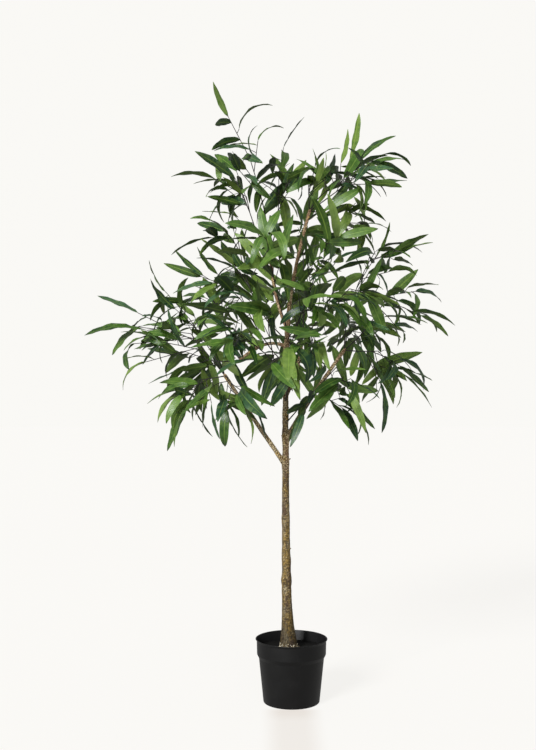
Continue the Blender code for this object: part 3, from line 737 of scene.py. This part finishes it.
def leaf_group():
    """Leaf colour from the midrib out, with mottling, a paler rib and faint side veins."""
    tree, given, result = new_group("leaf_print", "ShaderNodeTree", {
        "Deep": COLOUR, "Fresh": COLOUR, "Rib": COLOUR, "Rib Width": 0.12, "Rib Strength": 0.5}, PRINT)
    along, across, shade = (wire(tree, "ShaderNodeAttribute", output="Fac", attribute_name=name)
                            for name in ("along", "across", "shade"))
    off_rib = reckon("ABSOLUTE", across)
    rib = eased(off_rib, 0.0, given["Rib Width"], 1.0, 0.0)
    veins = reckon("SINE", (off_rib * VEIN_SLANT + along) * VEIN_PITCH)
    mottle = noise(object_place(tree), MOTTLE_SCALE, 4.0, 0.6)
    fresh = mottle * 1.3 - 0.35 + shade * 0.32 + off_rib * 0.18 + veins * 0.04
    colour = mixed(eased(fresh, 0.0, 1.0), given["Deep"], given["Fresh"])
    link(tree, mixed(rib * given["Rib Strength"], colour, given["Rib"]), result["Color"])
    link(tree, mottle * 0.24 + 0.28, result["Roughness"])
    link(tree, veins * 0.22 + rib * -1.0, result["Height"])
    return tree


# Heights on the trunk between which the bark's colour and its painted light and shade turn:
PAINTED_FOOT_SHADE = (0.13, 0.28)           # from painted shade near the pot to its own tone
GREYER_AND_PAINTED_LIGHT = (0.53, 0.62)        # to greyer, and to paler with painted light below the crown
PAINTED_CROWN_SHADOW = (0.625, 0.66)       # to dark again with a painted shadow of the crown, where the crown starts
CROWN_SHADOW_LIFTS = (0.76, 0.80)            # to paler again inside the crown, where the painted shadow partly lifts
REDDENED = (0.66, 0.95)         # to red-brown, without specks
PATCH_SHIFT = (3.1, 1.7, 5.3)


def bark_group():
    """Gritty bark: crumbs with dark gaps, in ochre patches among grey and red-brown ones, with painted shade
    and light that change with height.
    """
    tree, given, result = new_group("gritty_bark", "ShaderNodeTree", {
        "Ochre": COLOUR, "Grey": COLOUR, "Brown": COLOUR, "Gap": COLOUR, "Speck": COLOUR,
        "Crumb Scale": 330.0}, {"Color": "Color", "Height": "Float"})
    place = wire(tree, "ShaderNodeAttribute", output="Vector", attribute_name="bark_place")
    height = split(object_place(tree))[2]
    crumbs = node(tree, "ShaderNodeTexVoronoi", {"Vector": place, "Scale": given["Crumb Scale"]}).outputs
    ochre_chance, brown_chance, speck_chance = split(Wire(tree, crumbs["Color"]))
    drawn_out = place * DRAWN_OUT
    patches = noise(drawn_out, 62.0, 4.0, 0.6)
    others = noise(drawn_out + PATCH_SHIFT, 48.0, 4.0, 0.6)
    shade = eased(height, *REDDENED)
    # painted light: paler bark below the crown; it also turns the ochre greyer
    greyer_and_lit = eased(height, *GREYER_AND_PAINTED_LIGHT)
    ochre = greyer_and_lit * -0.10 + (ochre_chance * 0.14 + patches)
    colour = mixed(eased(ochre, 0.46, 0.64), given["Grey"], given["Ochre"])
    brown = shade * 0.16 + (brown_chance * 0.16 + others)
    colour = mixed(eased(brown, 0.58, 0.76), colour, given["Brown"])
    gap = noise(place, 900.0) * 0.5 + Wire(tree, crumbs["Distance"])
    colour = mixed(eased(gap, 0.55, 0.90, 0.0, 0.9), colour, given["Gap"])
    speck = eased(speck_chance, 0.90, 0.96) * (1.0 - shade) * eased(gap, 0.62, 0.45)
    # the bark's brightness by height: painted shade near the pot, painted light below the crown
    tone = eased(height, *PAINTED_FOOT_SHADE, 0.28, 0.74) * (greyer_and_lit * 2.2 + 1.0)
    # a painted shadow of the crown on the trunk, which partly lifts higher up
    tone = tone * (eased(height, *PAINTED_CROWN_SHADOW, 1.0, 0.40) + eased(height, *CROWN_SHADOW_LIFTS, 0.0, 0.45))
    link(tree, mixed(speck, colour, given["Speck"]) * tone, result["Color"])
    link(tree, gap * -1.0, result["Height"])
    return tree


def grain_group():
    """Fine moulded grain with soft worn or dusty patches."""
    tree, given, result = new_group("grain", "ShaderNodeTree", {
        "Base": COLOUR, "Dust": COLOUR, "Dust Amount": 0.2, "Grain Scale": 900.0,
        "Roughness": 0.5}, PRINT)
    place = object_place(tree)
    patches = noise(place, 26.0, 5.0, 0.62)
    dust = eased(patches, 0.45, 0.80) * given["Dust Amount"]
    link(tree, mixed(dust, given["Base"], given["Dust"]), result["Color"])
    link(tree, patches * 0.20 + (given["Roughness"] - 0.10), result["Roughness"])
    link(tree, noise(place, given["Grain Scale"], 3.0, 0.6), result["Height"])
    return tree


def finish(name, group, values, bump, bump_height, roughness=None, specular=0.5):
    """A material whose colour and relief come from a group."""
    material = bpy.data.materials.new(name)
    material.use_nodes = True
    tree = material.node_tree
    shader = tree.nodes["Principled BSDF"].inputs
    shader["Specular IOR Level"].default_value = specular
    pattern = node(tree, "ShaderNodeGroup", {}, node_tree=group)
    for label, value in values.items():
        pattern.inputs[label].default_value = value
    pattern = pattern.outputs
    link(tree, pattern["Color"], shader["Base Color"])
    link(tree, pattern["Roughness"] if roughness is None else roughness, shader["Roughness"])
    relief = {"Strength": bump, "Distance": bump_height, "Height": pattern["Height"]}
    link(tree, wire(tree, "ShaderNodeBump", relief, "Normal"), shader["Normal"])
    return material


# Each tint: deep and fresh colour of the upper face, then of the paler underside.
Tint = namedtuple("Tint", "deep fresh under_deep under_fresh")
TINTS = {
    "blue_green": Tint(
        (0.006, 0.027, 0.010), (0.044, 0.102, 0.040), (0.034, 0.068, 0.022), (0.076, 0.130, 0.048)),
    "dark_green": Tint(
        (0.009, 0.033, 0.004), (0.060, 0.126, 0.020), (0.036, 0.072, 0.014), (0.084, 0.142, 0.032)),
    "mid_green": Tint(
        (0.028, 0.075, 0.007), (0.092, 0.168, 0.028), (0.066, 0.116, 0.026), (0.116, 0.184, 0.046)),
    "fresh_green": Tint(
        (0.055, 0.110, 0.013), (0.142, 0.214, 0.052), (0.092, 0.150, 0.028), (0.156, 0.230, 0.052)),
}
TINT_SHARES = (0.27, 0.27, 0.28, 0.18)
TINT_SWING = (0.3, 1.7)         # how far a spray's shares stray from these
RIB = (0.19, 0.29, 0.05, 1)

Face = namedtuple("Face", "rib_width rib_strength bump specular")
UPPER_FACE = Face(0.14, 0.45, 0.35, 0.38)
UNDER_FACE = Face(0.20, 0.55, 0.30, 0.15)
LEAF_RELIEF = 0.0006


def opaque(colour):
    return (*colour, 1.0)


def leaf_finish(name, group, face, deep, fresh):
    values = {"Deep": opaque(deep), "Fresh": opaque(fresh), "Rib": RIB, "Rib Width": face.rib_width,
              "Rib Strength": face.rib_strength}
    return finish(name, group, values, face.bump, LEAF_RELIEF, specular=face.specular)


# ======== pieces ========

def new_piece(name, mesh):
    piece = bpy.data.objects.new(name, mesh)
    bpy.context.scene.collection.objects.link(piece)
    return piece


def keep(piece, nodes):
    """Puts a finished piece on the one body, in place of the solids that it stands for."""
    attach(piece, "root")
    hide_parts(*nodes)


def new_mesh(name, places, edges, faces, **values):
    """A mesh whose points carry values."""
    mesh = bpy.data.meshes.new(name)
    mesh.from_pydata(places, edges, faces)
    for label, amounts in values.items():
        mesh.attributes.new(label, "FLOAT", "POINT").data.foreach_set("value", amounts)
    return mesh


def line_mesh(name, limbs):
    """Lines of edges that carry their thickness at each point."""
    edges, start = [], 0
    for limb in limbs:
        edges += [(start + i, start + i + 1) for i in range(len(limb.points) - 1)]
        start += len(limb.points)
    radii = [radius for limb in limbs for radius in limb.radii]
    return new_mesh(name, [point for limb in limbs for point in limb.points], edges, [], thickness=radii)


# Knots on the trunk: height, swelling, half length.
KNOTS = ((0.296, 0.0022, 0.012), (0.343, 0.0012, 0.010), (0.440, 0.0008, 0.018),
         (0.578, 0.0014, 0.014), (0.642, 0.0018, 0.015), (0.700, 0.0010, 0.010),
         (0.790, 0.0012, 0.012), (0.862, 0.0016, 0.014), (0.905, 0.0016, 0.016))


def knotted_trunk(limb):
    """The trunk with swellings at its knots and where limbs leave it."""
    radii = []
    for point, radius in zip(limb.points, limb.radii):
        swell = sum(size * math.exp(-((point.z - height) / length) ** 2) for height, size, length in KNOTS)
        radii.append(radius + swell)
    return Limb(limb.points, radii)


COLLAR = 0.0022
COLLAR_FADE = 0.012
TIP_TAPER = ((0.0020, 0.92), (0.0040, 0.72), (0.0058, 0.40))


def collared_bough(limb):
    """A bough with a thicker collar where it leaves the trunk and a tip that tapers to its wires."""
    points, radii, travelled = list(limb.points), [], 0.0
    for i, radius in enumerate(limb.radii):
        if i:
            travelled += (limb.points[i] - limb.points[i - 1]).length
        radii.append(radius + COLLAR * math.exp(-travelled / COLLAR_FADE))
    way = (points[-1] - points[-2]).normalized()
    tip, fine = points[-1], radii[-1]
    points += [tip + way * distance for distance, share in TIP_TAPER]
    radii += [fine * share for distance, share in TIP_TAPER]
    return Limb(points, radii)


# Stubs on the trunk: height, turn round it in degrees, length past its surface, radius.
STUBS = ((0.583, 5, 0.0045, 0.0016), (0.548, 20, 0.0016, 0.0014), (0.366, -15, 0.0022, 0.0020),
         (0.640, 170, 0.0030, 0.0020), (0.708, 30, 0.0030, 0.0016), (0.470, 200, 0.0016, 0.0016),
         (0.782, 160, 0.0030, 0.0016), (0.440, 95, 0.0020, 0.0018), (0.300, 130, 0.0020, 0.0020))
STUB_RISE = 0.5
STUB_TAPER = (1.8, 1.2, 0.6)


def stub(height, turn, length, radius):
    """A short pointed stub that rises out of the trunk."""
    turn = math.radians(turn)
    way = Vector((math.cos(turn), math.sin(turn), STUB_RISE)).normalized()
    start = trunk_centre(height)
    reach = (trunk_radius(height) + length) / math.hypot(way.x, way.y)
    points = [start, start + way * reach * 0.8, start + way * reach]
    return Limb(points, [radius * share for share in STUB_TAPER])


def skinned(name, limbs, tree, nodes, material, sides, spacing, ridges, ridge_size):
    """A piece of lines with a skin round them."""
    piece = new_piece(name, line_mesh(name, limbs))
    shaped(piece, tree, {"Sides": sides, "Spacing": spacing, "Ridges": ridges, "Ridge Size": ridge_size,
                         "Finish": material})
    keep(piece, nodes)


def make_limbs(bark, tree):
    fine = limb_lines(160, 40)
    trunk = knotted_trunk(fine.pop("trunk"))
    skinned("trunk_bark", [trunk], tree, ["trunk"], bark,
            sides=64, spacing=0.0012, ridges=0.0016, ridge_size=0.0040)
    boughs = [collared_bough(limb) for limb in fine.values()] + [stub(*row) for row in STUBS]
    skinned("bough_bark", boughs, tree, list(BOUGHS), bark,
            sides=36, spacing=0.0016, ridges=0.0010, ridge_size=0.0030)


STEM_SINK = 0.005
FINE_RADIUS = 0.0008


def make_twigs(crown, wire_finish, tree):
    """The wires: each spray's stem sunk in its limb, its twigs and their finer twigs."""
    lines = []
    for spray, stem, twigs in crown:
        way = (stem[1] - stem[0]).normalized()
        shares = [i / STEM_PARTS for i in range(STEM_PARTS + 1)]
        radii = [STEM_RADIUS + (TWIG_RADIUS - STEM_RADIUS) * share for share in shares]
        lines.append(Limb([stem[0] - way * STEM_SINK] + stem, [STEM_RADIUS] + radii))
        for twig in twigs:
            lines.append(Limb(twig.points, [TWIG_RADIUS, TWIG_RADIUS, FINE_RADIUS]))
            lines += [Limb(side.points, [FINE_RADIUS, FINE_RADIUS]) for side in twig.finer]
    skinned("twig_wires", lines, tree, [spray.name for spray in SPRAYS], wire_finish,
            sides=8, spacing=0.006, ridges=0.0002, ridge_size=0.002)


BLADE_STATIONS = 10


def blade():
    """A flat unit leaf: along from 0 to 1, across from -1 to 1, with an upper and an under face."""
    ring = ((-1, 0), (0, -1), (1, 0), (0, 1))       # across and over
    places = [(i / BLADE_STATIONS, across, over) for i in range(BLADE_STATIONS + 1) for across, over in ring]
    last = 4 * BLADE_STATIONS
    faces, under = [(3, 2, 1, 0)], [0]
    for start in range(0, last, 4):
        for k in range(4):
            a, b = start + k, start + (k + 1) % 4
            faces.append((a, b, b + 4, a + 4))
            under.append(k < 2)
    faces.append((last, last + 1, last + 2, last + 3))
    under.append(0)
    along, across, over = zip(*places)
    mesh = new_mesh("blade", places, [], faces, along=along, across=across, over=over)
    mesh.attributes.new("under", "FLOAT", "FACE").data.foreach_set("value", [float(value) for value in under])
    mesh.shade_smooth()
    sharp = [{v % 4 for v in edge.vertices} in ({0}, {2}) for edge in mesh.edges]
    mesh.attributes.new("sharp_edge", "BOOLEAN", "EDGE").data.foreach_set("value", sharp)
    return new_piece("blade", mesh)


BLADE_ROLL = 0.3
BLADE_TWIST = 0.7


def leaf_points(name, leaves, draw):
    """A point for each leaf, with the leaf's measures as the point's values."""
    rows = [(leaf.length, leaf.width, leaf.bend, draw.uniform(-BLADE_ROLL, BLADE_ROLL),
             draw.uniform(-BLADE_TWIST, BLADE_TWIST), draw.uniform(-1, 1)) for leaf in leaves]
    measures = dict(zip(("length", "width", "bend", "roll", "twist", "shade"), zip(*rows)))
    mesh = new_mesh(name, [leaf.root for leaf in leaves], [], [], **measures)
    for label, field in (("way", "way"), ("upper", "face")):
        flat = [value for leaf in leaves for value in getattr(leaf, field)]
        mesh.attributes.new(label, "FLOAT_VECTOR", "POINT").data.foreach_set("vector", flat)
    return mesh


TINT_SEED = 21


def make_leaves(crown, group, tree):
    """The leaves, in one piece for each tint; each spray has its own mixture of tints."""
    draw = random.Random(TINT_SEED)
    dealt = {name: [] for name in TINTS}
    for spray, stem, twigs in crown:
        shares = [share * draw.uniform(*TINT_SWING) for share in TINT_SHARES]
        for twig in twigs:
            for leaf in twig.leaves + [leaf for side in twig.finer for leaf in side.leaves]:
                dealt[draw.choices(list(TINTS), shares)[0]].append(leaf)
    model = blade()
    for name, leaves in dealt.items():
        tint = TINTS[name]
        piece = new_piece("leaves_" + name, leaf_points(name, leaves, draw))
        upper = leaf_finish(name + "_upper", group, UPPER_FACE, tint.deep, tint.fresh)
        under = leaf_finish(name + "_under", group, UNDER_FACE, tint.under_deep, tint.under_fresh)
        shaped(piece, tree, {"Blade": model, "Upper": upper, "Under": under})
        keep(piece, [spray.name for spray in SPRAYS])
    bpy.data.objects.remove(model)


CORNER_RADIUS = 0.0008
CORNER_STEPS = 4
SHARP_ANGLE = math.radians(40)


def rounded(outline):
    """The outline with each inner corner turned into a small curve."""
    made = [Vector(outline[0])]
    for before, corner, after in zip(outline, outline[1:], outline[2:]):
        before, corner, after = Vector(before), Vector(corner), Vector(after)
        reach = min(CORNER_RADIUS, (before - corner).length / 2.2, (after - corner).length / 2.2)
        start = corner + (before - corner).normalized() * reach
        end = corner + (after - corner).normalized() * reach
        made += bezier(start, corner, end, CORNER_STEPS)
    return made + [Vector(outline[-1])]


def turned(name, outline, material):
    """A turned piece: the outline of radius and height pairs runs from the axis round to the axis."""
    mesh = bmesh.new()
    line = [mesh.verts.new((radius, 0, height)) for radius, height in outline]
    edges = [mesh.edges.new(pair) for pair in zip(line, line[1:])]
    bmesh.ops.spin(mesh, geom=line + edges, axis=(0, 0, 1), cent=(0, 0, 0), steps=POT_SIDES,
                   angle=2 * math.pi, use_merge=True)
    bmesh.ops.remove_doubles(mesh, verts=mesh.verts, dist=1e-6)
    bmesh.ops.recalc_face_normals(mesh, faces=mesh.faces)
    data = bpy.data.meshes.new(name)
    mesh.to_mesh(data)
    mesh.free()
    data.shade_smooth()
    data.set_sharp_from_angle(angle=SHARP_ANGLE)
    data.materials.append(material)
    return new_piece(name, data)


def inner_radius(height):
    if height < BODY_HEIGHT:
        return BASE_RADIUS + (BODY_RADIUS - BASE_RADIUS) * height / BODY_HEIGHT - POT_WALL
    share = (height - BODY_HEIGHT) / (POT_HEIGHT - BODY_HEIGHT)
    return BODY_RADIUS + (RIM_RADIUS - BODY_RADIUS) * share - POT_WALL


LIP_GROOVE = 0.0006
GROOVE_HEIGHT = 0.002


def make_pot(plastic):
    lip_foot = POT_HEIGHT - LIP_HEIGHT
    outline = [
        (0, 0), (BASE_RADIUS - BASE_EDGE, 0), (BASE_RADIUS, BASE_EDGE), (BODY_RADIUS, BODY_HEIGHT),
        (BAND_FOOT_RADIUS, BODY_HEIGHT + STEP_HEIGHT),
        (RIM_RADIUS - LIP_WIDTH - LIP_GROOVE, lip_foot - GROOVE_HEIGHT), (RIM_RADIUS - LIP_WIDTH, lip_foot),
        (RIM_RADIUS, lip_foot + LIP_WIDTH), (RIM_RADIUS, POT_HEIGHT), (inner_radius(POT_HEIGHT), POT_HEIGHT),
        (inner_radius(BODY_HEIGHT), BODY_HEIGHT), (inner_radius(POT_WALL), POT_WALL), (0, POT_WALL),
    ]
    keep(turned("pot_shell", rounded(outline), plastic), ["pot"])


def ring_mesh(name, rings, sides, outward, **values):
    """Faces between rings of points, each ring a centre and a radius."""
    turns = [2 * math.pi * k / sides for k in range(sides)]
    places = [Vector(centre) + Vector((math.cos(turn), math.sin(turn), 0)) * radius
              for centre, radius in rings for turn in turns]
    faces = []
    for start in range(0, (len(rings) - 1) * sides, sides):
        for k in range(sides):
            a, b = start + k, start + (k + 1) % sides
            faces.append((a, a + sides, b + sides, b) if outward else (a, b, b + sides, a + sides))
    return new_mesh(name, places, [], faces, **values)


def disc(name, inner, outer, height, rings, sides):
    """A flat ring of faces, with a point value that fades to 0 at its outer edge."""
    shares = [i / rings for i in range(rings + 1)]
    loose = [min(1.0, (1 - share) * 8) for share in shares for k in range(sides)]
    rings = [((0, 0, height), inner + (outer - inner) * share) for share in shares]
    mesh = ring_mesh(name, rings, sides, True, loose=loose)
    mesh.shade_smooth()
    return mesh


GRIT_HEIGHT = 0.012
GRIT_SKIRT = 0.004
GRIT_SIDES = 48


def foot_band():
    """The surface that holds the crumbs: a skirt on the filling and a band of the trunk's foot."""
    heights = [FILL_TOP + GRIT_HEIGHT * share for share in (0.0, 0.25, 0.5, 0.75, 1.0)]
    rings = [(trunk_centre(height), trunk_radius(height)) for height in heights]
    skirt = (rings[0][0], rings[0][1] + GRIT_SKIRT)
    return ring_mesh("foot_band", [skirt] + rings, GRIT_SIDES, False)


FILL_CRUST = 0.003
TOP_SINK = 0.0005
TOP_HOLE = 0.0005


def make_topping(soil, crumb, pale):
    foot, crust = POT_WALL + GAP, FILL_TOP - FILL_CRUST
    outline = [(0, foot)] + [(inner_radius(z) - GAP, z) for z in (foot, BODY_HEIGHT, crust)] + [(0, crust)]
    keep(turned("filling_body", outline, soil), ["filling"])
    edge = inner_radius(FILL_TOP) - GAP
    top = new_piece("filling_top", disc("filling_top", TOP_HOLE, edge, FILL_TOP - TOP_SINK, 110, 180))
    shaped(top, top_tree(), {"Finish": soil})
    keep(top, ["filling"])
    grit = new_piece("foot_grit", foot_band())
    shaped(grit, grit_tree(), {"Density": 150000.0, "Size": 0.0013, "Finish": crumb, "Pale": pale})
    keep(grit, ["trunk"])


# ======== studio ========

FLOOR_COLOUR = (0.09, 0.089, 0.087)
FLOOR_ROUGHNESS = 0.9
SKY_STRENGTH = 0.35
PAINTED_REFLECTION_SIDE = (0.080, 0.020)  # the strip in front of the pot with a painted reflection: off its middle
PAINTED_REFLECTION_NEAR = (-0.05, -0.075)
PAINTED_REFLECTION_FAR = (-0.16, -0.08)
PAINTED_REFLECTION_SHARE = (0.22, 0.36)

Sun = namedtuple("Sun", "towards strength spread")
KEY = Sun((0.50, 0.80, -0.52), 4.8, 18)
FILL = Sun((-0.22, 0.92, -0.22), 1.3, 35)


def make_floor():
    mesh = disc("floor", 0.0, FLOOR_RADIUS, 0.0, 12, 96)
    floor = new_piece("floor", mesh)
    paper = bpy.data.materials.new("paper")
    paper.use_nodes = True
    tree = paper.node_tree
    shader = tree.nodes["Principled BSDF"]
    matte = {"Base Color": opaque(FLOOR_COLOUR), "Roughness": FLOOR_ROUGHNESS, "Specular IOR Level": 0.0}
    for label, value in matte.items():
        shader.inputs[label].default_value = value
    x, y, z = split(object_place(tree))
    # a painted reflection of the pot: the paper's glow turns darker and warmer in a strip in front of it
    front = eased(reckon("ABSOLUTE", x), *PAINTED_REFLECTION_SIDE) * eased(y, *PAINTED_REFLECTION_NEAR)
    tone = mixed(front * eased(y, *PAINTED_REFLECTION_FAR, *PAINTED_REFLECTION_SHARE), opaque(PAPER), opaque(PAINTED_REFLECTION_COLOUR))
    by_camera = wire(tree, "ShaderNodeLightPath", output="Is Camera Ray")
    strength = wire(tree, "ShaderNodeMix", {0: by_camera, 2: PAPER_BOUNCE, 3: PAPER_SEEN})
    glow = wire(tree, "ShaderNodeEmission", {"Color": tone, "Strength": strength})
    both = wire(tree, "ShaderNodeAddShader", {0: shader.outputs[0], 1: glow})
    link(tree, both, tree.nodes["Material Output"].inputs["Surface"])
    mesh.materials.append(paper)


def make_sky():
    """White light from all round, and a backdrop that only the camera sees."""
    world = bpy.data.worlds.new("studio")
    bpy.context.scene.world = world
    world.use_nodes = True
    tree = world.node_tree
    ground = tree.nodes["Background"]
    ground.inputs["Color"].default_value = (1, 1, 1, 1)
    ground.inputs["Strength"].default_value = SKY_STRENGTH
    seen = wire(tree, "ShaderNodeBackground", {"Color": opaque(BACKDROP), "Strength": 1.0})
    by_camera = wire(tree, "ShaderNodeLightPath", output="Is Camera Ray")
    both = wire(tree, "ShaderNodeMixShader", {0: by_camera, 1: ground.outputs[0], 2: seen})
    link(tree, both, tree.nodes["World Output"].inputs["Surface"])


def add_sun(name, sun):
    light = bpy.data.lights.new(name, "SUN")
    light.energy = sun.strength
    light.angle = math.radians(sun.spread)
    lamp = new_piece(name, light)
    lamp.rotation_euler = Vector(sun.towards).to_track_quat("-Z", "Y").to_euler()
    return lamp


def make_camera():
    bpy.context.scene.view_settings.view_transform = "Standard"
    camera = bpy.data.cameras.new("camera")
    camera.lens = CAMERA_LENS
    camera.sensor_width = 36
    view = new_piece("camera", camera)
    view.location = CAMERA_PLACE
    view.rotation_euler = (math.radians(90), 0, 0)
    bpy.context.scene.camera = view


BARK_COLOURS = {"Ochre": (0.330, 0.215, 0.055), "Grey": (0.350, 0.285, 0.170), "Brown": (0.120, 0.072, 0.042),
                "Gap": (0.045, 0.030, 0.013), "Speck": (0.70, 0.60, 0.38)}

Grain = namedtuple("Grain", "name base dust amount scale roughness bump relief specular")
GRAINS = (
    Grain("wire", (0.012, 0.010, 0.007), (0.035, 0.028, 0.018), 0.4, 900.0, 0.6, 0.3, 0.0002, 0.5),
    Grain("pot_plastic", (0.0006, 0.0006, 0.0007), (0.0045, 0.0044, 0.0043), 0.35, 900.0, 0.46,
          0.25, 0.0002, 0.37),
    Grain("topping", (0.003, 0.0028, 0.0025), (0.010, 0.009, 0.008), 0.6, 420.0, 0.80, 0.9, 0.0015, 0.15),
    Grain("crumb", (0.10, 0.07, 0.03), (0.26, 0.20, 0.12), 0.8, 900.0, 0.8, 0.3, 0.0003, 0.5),
    Grain("pale_crumb", (0.60, 0.55, 0.42), (0.85, 0.82, 0.72), 0.8, 900.0, 0.7, 0.3, 0.0003, 0.5),
)


def grain_finish(group, grain):
    values = {"Base": opaque(grain.base), "Dust": opaque(grain.dust), "Dust Amount": grain.amount,
              "Grain Scale": grain.scale, "Roughness": grain.roughness}
    return finish(grain.name, group, values, grain.bump, grain.relief, specular=grain.specular)


def main():
    make_camera()
    make_floor()
    make_sky()
    add_sun("key", KEY)
    add_sun("fill", FILL).visible_glossy = False
    leaf_print, gritty_bark, grain = leaf_group(), bark_group(), grain_group()
    bark = {label: opaque(colour) for label, colour in BARK_COLOURS.items()}
    bark = finish("bark", gritty_bark, bark, bump=0.9, bump_height=0.0014, roughness=0.80, specular=0.30)
    wire_finish, plastic, soil, crumb, pale = (grain_finish(grain, row) for row in GRAINS)
    skin = skin_tree()
    crown = grown_crown()
    make_limbs(bark, skin)
    make_twigs(crown, wire_finish, skin)
    make_leaves(crown, leaf_print, blade_tree())
    make_pot(plastic)
    make_topping(soil, crumb, pale)


main()
